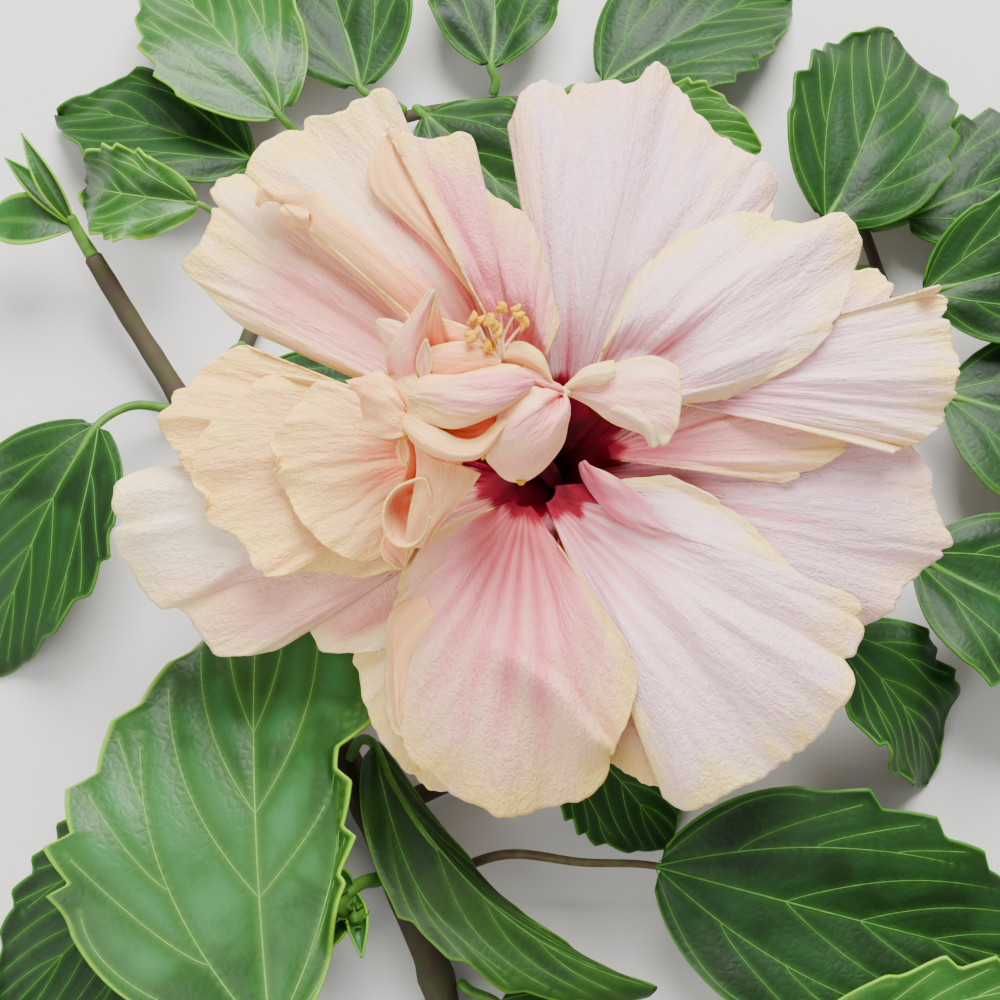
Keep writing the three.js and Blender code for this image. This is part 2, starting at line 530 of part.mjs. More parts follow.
// Blade from base to tip: a petaloid, bract or leaf
function bladeGeometry(blade, thickness, lengthSteps, widthSteps, toothed = false) {
  const base = vec(blade.base);
  const along = vec(blade.tip).sub(base);
  const length = along.length();
  const forward = along.clone().normalize();
  const side = forward.clone().cross(vec(blade.face)).normalize();
  const up = side.clone().cross(forward).normalize();
  const rounding = Math.log(0.5) / Math.log(blade.widest);
  const tapering = (LEAF_SHOULDER * (1 - blade.widest)) / blade.widest;
  const leafWidth = (t) => t ** LEAF_SHOULDER * (1 - t) ** tapering;
  const roundWidth = (t) => Math.sin(Math.PI * t ** rounding) ** PETALOID_FULLNESS;
  const grid = [];
  for (let i = 0; i <= widthSteps; i += 1) {
    const across = (2 * i) / widthSteps - 1;
    const row = [];
    for (let j = 0; j <= lengthSteps; j += 1) {
      const t = BLADE_START + ((BLADE_END - BLADE_START) * j) / lengthSteps;
      const tooth = toothed && j % 2 === 1 ? 1 + LEAF_TOOTH : 1;
      const breadth = toothed ? leafWidth(t) / leafWidth(blade.widest) : roundWidth(t);
      const share = lerpList((across > 0 ? blade.right : blade.left) ?? [1, 1], t);
      const half = (blade.width / 2) * breadth * tooth * share;
      const curl = blade.cup ?? 0;
      const sideways = curl === 0 ? across : Math.sin(across * curl) / curl;
      const raised = curl === 0 ? 0 : (1 - Math.cos(across * curl)) / curl;
      const folded = (blade.fold ?? 0) * Math.abs(across);
      row.push(base.clone()
        .addScaledVector(forward, length * t)
        .addScaledVector(side, half * sideways * Math.cos(blade.fold ?? 0) + 4 * (blade.bow ?? 0) * t * (1 - t))
        .addScaledVector(up, half * (raised + folded) + blade.arch * Math.sin(Math.PI * t)));
    }
    grid.push(row);
  }
  return shellGeometry(grid, thickness, up);
}

function leafGeometry(leaf) {
  const blade = bladeGeometry(leaf, LEAF_THICKNESS, LEAF_STEPS, 2, true);
  const grip = vec(leaf.base).lerp(vec(leaf.tip), STALK_GRIP).toArray();
  const foot = vec(leaf.base).toArray();
  const stalk = stemGeometry([grip, foot, ...leaf.stalk], STALK_RADIUS, 5, 5);
  return fuse([blade, stalk]);
}

function sprigGeometry(sprig) {
  const parts = [stemGeometry(sprig.spine, SPRIG_RADIUS, 3, 6)];
  for (const blade of sprig.blades) parts.push(bladeGeometry(blade, LEAF_THICKNESS, 5, 2));
  for (const [x, y, z, radius] of sprig.heads) {
    parts.push(new THREE.SphereGeometry(radius, 7, 5).scale(1, 1, BUD_STRETCH).translate(x, y, z));
  }
  return fuse(parts);
}

function antherGeometry() {
  const parts = [];
  for (const tip of ANTHERS) {
    const middle = vec(ANTHER_ROOT).lerp(vec(tip), 0.5).toArray();
    parts.push(stemGeometry([ANTHER_ROOT, middle, tip], FILAMENT_RADIUS, 2, 4));
    parts.push(new THREE.SphereGeometry(ANTHER_RADIUS, 6, 4).translate(...tip));
  }
  return fuse(parts);
}

function knotGeometry() {
  const core = new THREE.SphereGeometry(1, 10, 6);
  core.scale(...KNOT_CORE.radii).translate(...KNOT_CORE.centre);
  const parts = [stemGeometry(COLUMN_ROUTE, COLUMN_RADIUS, 7, 7), core];
  for (const blade of KNOT_PETALOIDS) parts.push(bladeGeometry(blade, PETALOID_THICKNESS, 4, 4));
  return fuse(parts);
}

function butterflyGeometry() {
  const joint = new THREE.SphereGeometry(BUTTERFLY_JOINT.radius, 6, 4).translate(...BUTTERFLY_JOINT.centre);
  const blades = BUTTERFLY_BLADES.map((blade) => bladeGeometry(blade, PETALOID_THICKNESS, 5, 4));
  return fuse([joint, ...blades]);
}

function calyxGeometry() {
  const profile = CALYX_PROFILE.map(([radius, w]) => new THREE.Vector2(radius, w)).reverse();
  return fromSolid(toSolid(new THREE.LatheGeometry(profile, CALYX_SIDES).rotateX(Math.PI / 2)));
}

// The assembly
const plant = new THREE.Group();
plant.position.copy(ORIGIN_SHIFT);

const bloom = new THREE.Group();
bloom.position.z = BLOOM_HEIGHT;
bloom.rotation.x = BLOOM_LEAN;
plant.add(bloom);

function addPart(group, name, geometry, material) {
  const mesh = new THREE.Mesh(geometry, material);
  mesh.name = name;
  group.add(mesh);
}

const placed = [];
for (const petal of PETALS) {
  const sheet = layPetal(petal, placed);
  placed.push(sheet);
  const material = petal.name.startsWith("petaloid") ? materials.petaloid : materials.petal;
  addPart(bloom, petal.name, shellGeometry(sheet.grid, PETAL_THICKNESS, BLOOM_AXIS), material);
}
addPart(bloom, "petaloid_knot", knotGeometry(), materials.petaloid);
addPart(bloom, "petaloid_butterfly", butterflyGeometry(), materials.petaloid);
addPart(bloom, "anther_cluster", antherGeometry(), materials.anther);
addPart(bloom, "calyx", calyxGeometry(), materials.calyx);

for (const stem of STEMS) {
  addPart(plant, stem.name, stemGeometry(stem.route, stem.radius, stem.steps, STEM_SIDES), materials.stem);
}
for (const leaf of LEAVES) addPart(plant, leaf.name, leafGeometry(leaf), materials.leaf);
addPart(plant, BUDS.name, sprigGeometry(BUDS), materials.calyx);
addPart(plant, SHOOT.name, sprigGeometry(SHOOT), materials.leaf);

const branch = new THREE.Group();
branch.add(plant);

export default branch;
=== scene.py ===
# Dresses the cut hibiscus branch: petals, petaloids, anthers, calyx, leaves, stems and buds round the packed
# part. Sizes are in millimetres and become metres where a mesh is made. The bloom has axes of its own: u to
# the right, v up the picture and w out of the flower.

import math

import bpy
import numpy as np
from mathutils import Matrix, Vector


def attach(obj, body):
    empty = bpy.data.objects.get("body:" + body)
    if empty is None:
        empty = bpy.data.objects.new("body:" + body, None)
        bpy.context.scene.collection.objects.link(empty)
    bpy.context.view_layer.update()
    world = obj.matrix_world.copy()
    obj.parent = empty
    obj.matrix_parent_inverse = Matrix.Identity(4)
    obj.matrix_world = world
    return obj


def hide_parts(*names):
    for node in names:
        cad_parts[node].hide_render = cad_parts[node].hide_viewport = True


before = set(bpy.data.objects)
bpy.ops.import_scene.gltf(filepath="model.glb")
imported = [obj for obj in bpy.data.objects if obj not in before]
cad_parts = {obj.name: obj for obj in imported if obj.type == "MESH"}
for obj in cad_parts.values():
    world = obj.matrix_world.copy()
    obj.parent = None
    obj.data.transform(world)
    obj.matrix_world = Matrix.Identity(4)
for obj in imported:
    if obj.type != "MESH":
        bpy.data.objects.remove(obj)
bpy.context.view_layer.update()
bpy.ops.object.select_all(action="DESELECT")

MM = 0.001
BODY = "root"

# Where the bloom sits on the branch, as in the part
BLOOM_HEIGHT = 55.0
BLOOM_LEAN = math.radians(14)
ORIGIN_SHIFT = np.array([-2.4, -10.4, 0.0])

# Throat of the bloom, a funnel, and the crimson lining just under the claws of the petals
THROAT_DEPTH = 22.0
THROAT_RADIUS = 10.0
THROAT_FALL = 1.2  # the more, the steeper its wall
LINING_RADIUS = 17.0
LINING_DROP = 1.6
LINING_POINTS = (73, 24)  # round the throat, and from its middle to its rim

# Crimson eye of the bloom, on the bloom's own axes
EYE_CENTRE = (-2.4, 5.4)
EYE_RADIUS = 13.6
EYE_SQUEEZE = 0.88  # the less, the wider the eye for its height
EYE_RAGGED = 0.8

PETAL_THICKNESS = 0.45
PETAL_CLEARANCE = 1.6  # from the middle of a petal to that of the one that it lies on
CLAW_ROOM = 0.6  # share by which the clearance grows on the steep wall of the throat
STEEP_DEPTH = 8.0
CLAW_LENGTH = 3.0  # from a petal's base to where its sheet starts
EDGE_FLAT = 2.5  # a petal holds up the next one this far past its own edge
EDGE_FADE = 6.0
PETAL_POINTS = (150, 90)  # across the fan, and from its claw to its rim
MARGIN_WIDTH = 12.0  # yellow margin along the rim
SIDE_MARGIN = 0.5  # share of that width along a petal's sides
NEAR_RIM = (14.0, 42.0)  # reach at which a rim starts to have the margin, and has it in full
PETALOID_THICKNESS = 0.42
PETALOID_GRAIN = 0.3  # share of a big petal's pattern that a petaloid's smaller sheet shows

LEAF_THICKNESS = 0.5
STALK_GRIP = 0.12

# Rounded end of a tube, as shares of its radius: the tip's rise, and the rise and width of the ring below it
TIP_RISE = 0.5
SHOULDER = (0.35, 0.7)
ASKEW = (0.31, 0.87, 0.38)  # a direction that no tube starts along


# Shape helpers
def clamp01(x):
    return np.clip(x, 0.0, 1.0)


def smooth(x):
    x = clamp01(x)
    return x * x * (3 - 2 * x)


def unit(vectors):
    return vectors / np.maximum(np.linalg.norm(vectors, axis=-1, keepdims=True), 1e-9)


def from_bloom(points):
    """Bloom axes to the frame of the part, both in millimetres."""
    points = np.asarray(points, float)
    u, v, w = points[..., 0], points[..., 1], points[..., 2]
    y = v * math.cos(BLOOM_LEAN) - w * math.sin(BLOOM_LEAN)
    z = BLOOM_HEIGHT + v * math.sin(BLOOM_LEAN) + w * math.cos(BLOOM_LEAN)
    return np.stack([u, y, z], axis=-1) + ORIGIN_SHIFT


def from_plant(points):
    """Axes of the branch, whose middle is not yet at the origin, to the frame of the part."""
    return np.asarray(points, float) + ORIGIN_SHIFT


def ripples(rng, x, y, count, x_rate, y_rate):
    """Sum of waves with random rates and phases over x and y, about -1 to 1."""
    total = 0.0
    for _ in range(count):
        rate_x = rng.uniform(*x_rate)
        rate_y = rng.uniform(*y_rate)
        total = total + np.sin(2 * np.pi * (rate_x * x + rate_y * y) + rng.uniform(0, 2 * np.pi))
    return total / math.sqrt(count)


def between(a, b, start, end, t):
    """Point on the line from a, at start, to b, at end."""
    return (end - t) / (end - start) * a + (t - start) / (end - start) * b


def smooth_route(points, count, span=40):
    """Points at even distances along a smooth curve through the given points."""
    points = np.asarray(points, float)
    ends = np.vstack([2 * points[0] - points[1], points, 2 * points[-1] - points[-2]])
    dense = []
    for i in range(len(points) - 1):
        p = ends[i:i + 4]
        knots = np.concatenate([[0], np.cumsum(np.sqrt(np.linalg.norm(np.diff(p, axis=0), axis=1)))])
        t = np.linspace(knots[1], knots[2], span, endpoint=False)[:, None]
        first = between(p[0], p[1], knots[0], knots[1], t)
        second = between(p[1], p[2], knots[1], knots[2], t)
        third = between(p[2], p[3], knots[2], knots[3], t)
        early = between(first, second, knots[0], knots[2], t)
        late = between(second, third, knots[1], knots[3], t)
        dense.append(between(early, late, knots[1], knots[2], t))
    dense = np.vstack([*dense, points[-1:]])
    lengths = np.concatenate([[0], np.cumsum(np.linalg.norm(np.diff(dense, axis=0), axis=1))])
    wanted = np.linspace(0, lengths[-1], count)
    return np.stack([np.interp(wanted, lengths, dense[:, k]) for k in range(dense.shape[1])], axis=-1)


def beside(path, u, v):
    """Distance of each point from a path, more than 0 on its left, and the nearest spot's place along it."""
    path = smooth_route(path, 24)
    steps = np.linalg.norm(np.diff(path, axis=0), axis=1)
    marks = np.concatenate([[0], np.cumsum(steps)]) / steps.sum()
    nearest = np.full(u.shape, np.inf)
    signed = np.zeros(u.shape)
    share = np.zeros(u.shape)
    for k in range(len(steps)):
        du, dv = path[k + 1] - path[k]
        t = clamp01(((u - path[k, 0]) * du + (v - path[k, 1]) * dv) / (du * du + dv * dv))
        off_u = u - path[k, 0] - t * du
        off_v = v - path[k, 1] - t * dv
        distance = np.hypot(off_u, off_v)
        closer = distance < nearest
        nearest = np.where(closer, distance, nearest)
        signed = np.where(closer, distance * np.sign(du * off_v - dv * off_u), signed)
        share = np.where(closer, marks[k] + t * (marks[k + 1] - marks[k]), share)
    return signed, share


def surface_normals(grid):
    across = np.gradient(grid, axis=0)
    along = np.gradient(grid, axis=1)
    return unit(np.cross(across, along))


def tube_grid(route, radii, sides, steps):
    """Round tube along a route, flat at its start and rounded at its end."""
    centres = smooth_route(route, steps)
    tangents = unit(np.gradient(centres, axis=0))
    normal = unit(np.cross(tangents[0], ASKEW))
    rings = []
    turns = np.linspace(0, 2 * np.pi, sides + 1)
    place = np.linspace(0, 1, steps)
    radius = np.interp(place, np.linspace(0, 1, len(radii)), radii)
    for centre, tangent, size in zip(centres, tangents, radius):
        normal = unit(normal - tangent * np.dot(normal, tangent))
        other = np.cross(tangent, normal)
        rings.append(centre + size * (np.outer(np.cos(turns), normal) + np.outer(np.sin(turns), other)))
    rings = np.array(rings)
    start = np.repeat(centres[:1, None], sides + 1, axis=1)
    end, last = centres[-1], radius[-1]
    shoulder = end + (rings[-1] - end) * SHOULDER[1] + tangents[-1] * last * SHOULDER[0]
    tip = np.repeat((end + tangents[-1] * last * TIP_RISE)[None, None], sides + 1, axis=1)
    rings = np.concatenate([start, rings, shoulder[None], tip])
    return np.transpose(rings, (1, 0, 2))


def net_grid(net, across, along):
    """Smooth sheet through a net of points, net[i][j]."""
    rows = np.array([smooth_route(row, along) for row in net])
    return np.stack([smooth_route(rows[:, j], across) for j in range(along)], axis=1)


# Pieces
def grid_piece(name, grid, thickness, finishes, values=None, weld=False, grain=1.0):
    """Sheet through grid[i, j] in millimetres, shaped from a plane grid, with a wall if thickness is given.

    Values become attributes for the finish. Weld closes a tube or cup at its seam and ends. Grain is the
    share of the finish's pattern that the sheet shows.
    """
    rows, cols = grid.shape[:2]
    bpy.ops.mesh.primitive_grid_add(x_subdivisions=rows - 1, y_subdivisions=cols - 1, size=1)
    piece = bpy.context.object
    piece.name = name
    mesh = piece.data
    flat = vertex_places(mesh)
    i = np.rint((flat[:, 0] + 0.5) * (rows - 1)).astype(int)
    j = np.rint((flat[:, 1] + 0.5) * (cols - 1)).astype(int)
    set_vertices(mesh, grid[i, j])
    for key, amount in (values or {}).items():
        layer = mesh.attributes.new(key, "FLOAT", "POINT")
        layer.data.foreach_set("value", amount[i, j].astype(np.float32).ravel())
    for finish in finishes:
        mesh.materials.append(finish)
    if grain != 1.0:
        layer = mesh.uv_layers.active.data
        places = np.empty(len(layer) * 2)
        layer.foreach_get("uv", places)
        layer.foreach_set("uv", (places * grain).astype(np.float32))
    mesh.update()
    if thickness:
        wall = piece.modifiers.new("wall", "SOLIDIFY")
        wall.thickness = thickness * MM
        wall.offset = 0
        wall.material_offset = len(finishes) - 1
        bpy.ops.object.modifier_apply(modifier=wall.name)
    if weld:
        bpy.ops.object.mode_set(mode="EDIT")
        bpy.ops.mesh.select_all(action="SELECT")
        bpy.ops.mesh.remove_doubles(threshold=0.001 * MM)
        bpy.ops.mesh.normals_make_consistent(inside=False)
        bpy.ops.object.mode_set(mode="OBJECT")
    bpy.ops.object.shade_smooth()
    piece.select_set(False)
    return piece


def vertex_places(mesh):
    flat = np.empty(len(mesh.vertices) * 3)
    mesh.vertices.foreach_get("co", flat)
    return flat.reshape(-1, 3)


def set_vertices(mesh, points):
    """Moves the vertices to these points, in millimetres."""
    mesh.vertices.foreach_set("co", (points * MM).astype(np.float32).ravel())


def tube_piece(name, place, route, radii, sides, steps, finish):
    """Closed tube, where place turns its route's axes to those of the part."""
    return grid_piece(name, place(tube_grid(route, radii, sides, steps)), None, [finish], weld=True)


def finish_piece(name, parts, slot, *nodes):
    """Joins the parts into one piece of the visual model, which stands for these nodes of the part."""
    bpy.ops.object.select_all(action="DESELECT")
    for part in parts:
        part.select_set(True)
    piece = parts[0]
    bpy.context.view_layer.objects.active = piece
    if len(parts) > 1:
        bpy.ops.object.join()
    piece.name = name
    piece.select_set(False)
    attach(piece, BODY)
    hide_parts(*nodes)


# Finishes
# Real sizes of the patterns in millimetres, as (width, length) on a petal and as one size elsewhere. The vein
# net of a leaf is drawn coarser than the real one, which is too fine to show.
PETAL_SPAN = 60.0  # width and length of the usual petal, which a petal's UV square stands for
PETAL_STREAK = (4.0, 18.75)
PETAL_VEIN = (1.034, 7.5)
PETAL_CREPE = (0.667, 1.2)
LEAF_BLOTCH = 22.2
LEAF_NET = 1.92
LEAF_NET_STRAY = (3.33, 1.2)  # size of the waves that bend the net, and how far they shift it


def colour(code):
    """sRGB hex to linear RGBA."""
    values = [int(code[k:k + 2], 16) / 255 for k in (1, 3, 5)]
    return (*[c / 12.92 if c <= 0.04045 else ((c + 0.055) / 1.055) ** 2.4 for c in values], 1.0)


def per_metre(size):
    """Scale of a pattern on object coordinates whose marks have this size in millimetres."""
    return 1 / (size * MM)


def add(tree, kind, links=None, values=None, **settings):
    made = tree.nodes.new("ShaderNode" + kind)
    for key, value in settings.items():
        setattr(made, key, value)
    for key, value in (values or {}).items():
        made.inputs[key].default_value = value
    for key, source in (links or {}).items():
        tree.links.new(source, made.inputs[key])
    return made


def new_finish(name, **inputs):
    """Material with these values on its shader, whose sockets are named with underscores for spaces."""
    finish = bpy.data.materials.new(name)
    finish.use_nodes = True
    tree = finish.node_tree
    shader = tree.nodes["Principled BSDF"]
    for key, value in inputs.items():
        shader.inputs[key.replace("_", " ")].default_value = value
    return finish, tree, shader


def attribute(tree, name):
    return add(tree, "Attribute", attribute_name=name).outputs["Fac"]


def mixed(tree, amount, first, second):
    """Colour between first and second, each a hex value or a socket."""
    made = add(tree, "Mix", data_type="RGBA")
    tree.links.new(amount, made.inputs[0])
    for socket, what in ((made.inputs[6], first), (made.inputs[7], second)):
        if isinstance(what, str):
            socket.default_value = colour(what)
        else:
            tree.links.new(what, socket)
    return made.outputs[2]


def stepped(tree, amount, low, high, top=1.0):
    """Amount stretched so that low gives 0 and high gives top."""
    return add(tree, "MapRange", {"Value": amount},
               {"From Min": low, "From Max": high, "To Min": 0.0, "To Max": top}).outputs[0]


def maths(tree, operation, *parts, clamp=False):
    """One step of arithmetic on sockets and numbers."""
    made = add(tree, "Math", operation=operation, use_clamp=clamp)
    for socket, part in zip(made.inputs, parts):
        if isinstance(part, (int, float)):
            socket.default_value = part
        else:
            tree.links.new(part, socket)
    return made.outputs[0]


def either_way(tree, noise, share):
    """Noise as an amount from minus to plus half of the share."""
    return maths(tree, "MULTIPLY", maths(tree, "SUBTRACT", noise, 0.5), share)


def petal_noise(tree, uv, size, detail, roughness, distortion):
    """Noise on a petal's UV map, with marks of this width and length in millimetres."""
    spread = add(tree, "Mapping", {"Vector": uv}, {"Scale": (PETAL_SPAN / size[0], PETAL_SPAN / size[1], 1)})
    noise = add(tree, "TexNoise", {"Vector": spread.outputs[0]},
                {"Scale": 1, "Detail": detail, "Roughness": roughness, "Distortion": distortion})
    return noise.outputs["Fac"]


def petal_finish(name, outer, middle, inner, margin):
    """Hibiscus petal: thin moist tissue, pleated in the bud.

    To the eye it is matt and soft like crepe, with streaks and veins along the fan and light coming through.
    Its flush deepens from the outer colour to the inner one, and the eye is dark crimson with a brighter
    ragged border.
    """
    finish, tree, shader = new_finish(name, Roughness=0.62, Specular_IOR_Level=0.2, Subsurface_Weight=0.2,
                                      Subsurface_Radius=(1.0, 0.62, 0.5), Subsurface_Scale=1.2 * MM)
    uv = add(tree, "UVMap").outputs["UV"]
    streaks = petal_noise(tree, uv, PETAL_STREAK, 4, 0.6, 1.3)
    fine = petal_noise(tree, uv, PETAL_VEIN, 3, 0.6, 1.4)
    crepe = petal_noise(tree, uv, PETAL_CREPE, 2, 0.5, 1.2)

    # Flush: stronger and weaker in the streaks
    flush = maths(tree, "ADD", attribute(tree, "blush"), either_way(tree, streaks, 0.22), clamp=True)
    surface = mixed(tree, stepped(tree, flush, 0.05, 0.5), outer, middle)
    surface = mixed(tree, stepped(tree, flush, 0.5, 1.0), surface, inner)

    # Veins: thin lines where the fine pattern crosses its middle value, so that they fork and join
    vein = stepped(tree, maths(tree, "ABSOLUTE", maths(tree, "SUBTRACT", fine, 0.5)), 0.05, 0.0)
    vein_share = maths(tree, "MULTIPLY", vein, maths(tree, "ADD", 0.06, maths(tree, "MULTIPLY", flush, 0.4)))
    surface = mixed(tree, vein_share, surface, inner)

    margin_share = maths(tree, "MULTIPLY", attribute(tree, "edge"), stepped(tree, streaks, 0.25, 0.55, 0.9))
    surface = mixed(tree, margin_share, surface, margin)

    # Crimson eye, which bleeds out along the veins
    eye = attribute(tree, "eye")
    crimson = mixed(tree, stepped(tree, eye, 0.0, 0.55), "#96062A", "#440210")
    bled = maths(tree, "ADD", eye, either_way(tree, fine, 0.35))
    surface = mixed(tree, stepped(tree, bled, -0.03, 0.07), surface, crimson)
    tree.links.new(surface, shader.inputs["Base Color"])

    # Relief, which fades towards the claw
    relief = maths(tree, "ADD", maths(tree, "MULTIPLY", streaks, 1.4), maths(tree, "MULTIPLY", fine, 0.8))
    relief = maths(tree, "ADD", relief, maths(tree, "MULTIPLY", crepe, 0.8))
    along = add(tree, "SeparateXYZ", {"Vector": uv}).outputs["Y"]
    relief = maths(tree, "MULTIPLY", relief, stepped(tree, along, -0.25, 0.5))
    bump = add(tree, "Bump", {"Height": relief}, {"Strength": 0.55, "Distance": 1.2 * MM}).outputs[0]
    tree.links.new(bump, shader.inputs["Normal"])
    return finish


def leaf_finish(name, shade, body, sheen, vein, margin, roughness, shine):
    """Hibiscus leaf: firm tissue under a thin coat of wax.

    Its colour is painted in soft blotches of painted shade and body green, with a painted sheen where it
    swells between the veins, and with pale veins, a bright margin and a fine net that breaks up the shine.
    """
    finish, tree, shader = new_finish(name, Roughness=roughness, Specular_IOR_Level=shine)
    place = add(tree, "TexCoord").outputs["Object"]
    blotch = add(tree, "TexNoise", {"Vector": place},
                 {"Scale": per_metre(LEAF_BLOTCH), "Detail": 4, "Distortion": 0.6}).outputs["Fac"]
    # Painted shade in the darker blotches
    surface = mixed(tree, stepped(tree, blotch, 0.38, 0.55), shade, body)
    # Painted sheen: paler green where the blade swells between the veins, in the lighter blotches
    raised = maths(tree, "MULTIPLY", attribute(tree, "quilt"), stepped(tree, blotch, 0.42, 0.62))
    surface = mixed(tree, maths(tree, "MULTIPLY", raised, 0.75), surface, sheen)
    surface = mixed(tree, maths(tree, "MULTIPLY", attribute(tree, "vein"), 0.4), surface, vein)
    surface = mixed(tree, maths(tree, "MULTIPLY", attribute(tree, "edge"), 0.9), surface, margin)
    tree.links.new(surface, shader.inputs["Base Color"])

    stray_size, stray = LEAF_NET_STRAY
    waves = add(tree, "TexNoise", {"Vector": place}, {"Scale": per_metre(stray_size), "Detail": 1})
    strayed = add(tree, "VectorMath", {0: waves.outputs["Color"]}, {1: (stray * MM,) * 3},
                  operation="MULTIPLY").outputs[0]
    strayed = add(tree, "VectorMath", {0: place, 1: strayed}, operation="ADD").outputs[0]
    net = add(tree, "TexVoronoi", {"Vector": strayed}, {"Scale": per_metre(LEAF_NET)},
              feature="DISTANCE_TO_EDGE")
    bump = add(tree, "Bump", {"Height": stepped(tree, net.outputs["Distance"], 0.0, 0.3)},
               {"Strength": 0.28, "Distance": 0.14 * MM}).outputs[0]
    tree.links.new(bump, shader.inputs["Normal"])
    return finish


def plain_finish(name, roughness, code, spots, grain=2.5, depth=0.3):
    """Even plant tissue, mottled with spots of this grain and depth in millimetres."""
    finish, tree, shader = new_finish(name, Roughness=roughness, Specular_IOR_Level=0.3)
    place = add(tree, "TexCoord").outputs["Object"]
    mottle = add(tree, "TexNoise", {"Vector": place}, {"Scale": per_metre(grain), "Detail": 3}).outputs["Fac"]
    tree.links.new(mixed(tree, stepped(tree, mottle, 0.4, 0.7), code, spots), shader.inputs["Base Color"])
    bump = add(tree, "Bump", {"Height": mottle}, {"Strength": 0.5, "Distance": depth * MM}).outputs[0]
    tree.links.new(bump, shader.inputs["Normal"])
    return finish


# Base colours are deeper than they look in the picture, as strong soft light pales them
PETAL_FINISHES = {
    "lilac": petal_finish("petal_white_lilac", "#F6C8CA", "#F0AAB2", "#D0707C", "#F4D474"),
    # This finish is the lilac one made greyer and darker: painted shade for the top petal and the lower right
    # back petal
    "lilac_painted_shade": petal_finish("petal_lilac_painted_shade", "#E6BCC2", "#DE9CA4", "#B85C68", "#F0C694"),
    "white": petal_finish("petal_white", "#F6DEC0", "#F0B49A", "#D9786C", "#F6DA96"),
    "cream": petal_finish("petal_cream", "#F8CEA4", "#F2AC9A", "#E07E70", "#F2D26C"),
    "pink": petal_finish("petal_pink", "#F4B09E", "#EA8F94", "#D65C68", "#F2CE74"),
    "rose": petal_finish("petal_rose", "#F8CDB0", "#EE98A6", "#D4566E", "#F8D68A"),
    "salmon": petal_finish("petal_salmon", "#F2BE98", "#EA8E90", "#C6525C", "#F0CA66"),
    "blushed": petal_finish("petal_blushed", "#FAC68E", "#F29C90", "#E07C84", "#FAD06C"),
    "peach": petal_finish("petal_peach", "#FBBF7A", "#F69C6C", "#EA5C34", "#FAD06C"),
    "coral": petal_finish("petal_coral", "#F4904E", "#EE5E2C", "#D03414", "#F6BE66"),
}

# Full-grown leaves are dark and satin, young ones brighter and glossier, and the undersides pale and dull.
# The dark colours are also painted shade for the leaves that lie in shade under and behind the bloom, and the
# bright ones painted light for the leaves that catch the light; the third colour of each finish is a painted
# sheen.
leaf_top = leaf_finish("leaf_upper_side_painted_shade", "#0C2406", "#143208", "#1C4424", "#30601E", "#3C7414", 0.48, 0.2)
leaf_bright = leaf_finish("leaf_young_upper_side_painted_light", "#1A420C", "#234F10", "#34703C", "#528434", "#76B010",
                          0.42, 0.32)
leaf_under = leaf_finish("leaf_under_side", "#26491A", "#2F561C", "#3A6424", "#58803A", "#5C8E18", 0.65, 0.2)
leaf_fold = leaf_finish("leaf_folded_side", "#142E06", "#1C3A08", "#26480E", "#3A6020", "#4C7A18", 0.55, 0.2)

# Veins and leaf stalks: smooth juicy tissue with a slight shine, reddened where the sun reaches it
vein_finish = plain_finish("leaf_vein", 0.5, "#3A6A22", "#4C7C30")
pale_vein_finish = plain_finish("leaf_vein_pale", 0.5, "#5E9040", "#74A24E")
stalk_finish = plain_finish("leaf_stalk_green", 0.5, "#3E6A1C", "#4F7A28")
ruddy_finish = plain_finish("leaf_stalk_ruddy", 0.5, "#4E3220", "#4A5220")

# Staminal column: the fleshy tube that carries the anthers, dark crimson and a little moist
column_finish = plain_finish("staminal_column", 0.5, "#3C0A16", "#641C28", grain=3.33)

# Young bark: brown skin over green wood, which shows in spots, dull and slightly rough
bark_finish = plain_finish("young_bark", 0.8, "#3F3226", "#36401C", grain=3.85, depth=0.6)

# Calyx and buds: thick green skin with a fine down, which dulls it
calyx_finish = plain_finish("calyx_green", 0.6, "#3F6A1E", "#4E7A2C")

# Pollen: golden dust in clumps, quite matt
pollen_finish = plain_finish("anther_pollen", 0.9, "#C48A00", "#E0A800", grain=0.667, depth=0.5)

# Filaments: pale smooth threads
filament_finish = plain_finish("filament_pale", 0.5, "#F6DF96", "#F6D2B0")


# Petals
# Rim of a petal, as shares of its reach, with places along the rim from 0 to 1
RIM_RIPPLE = 0.006
FINE_RIM_RIPPLE = 0.0025
NICKS = 3
NICK_DEPTH = 0.025
NICK_WIDTH = 0.009
LEAST_TURN = 1e-5  # radians from one line of the fan to the next
LEAST_ROLL = 0.3  # a shorter stretch of rim isn't rolled

# Pleats of a petal, with the ranges that are drawn from: heights in millimetres, the rest shares of the fan
PLEATS = 16
PLEAT_PLACE = (0.03, 0.97)
PLEAT_HEIGHT = (0.2, 0.6)
PLEAT_WIDTH = (0.014, 0.036)
PLEAT_START = (0.02, 0.5)
PLEAT_BEND = (-0.09, 0.09)
PLEAT_STRAY = (0.004, 0.014)
FADE_IN = 0.35  # share of the petal's length over which a pleat or crease rises
CREASE = 0.22
FINE_CREASE = 0.06
RIM_CREASE = 0.7

USUAL_FLUSH = 0.6
PATH_END = 0.2  # share of the path of a ridge or of a mark over which it fades at each end
TURNED_POINTS = (26, 70)
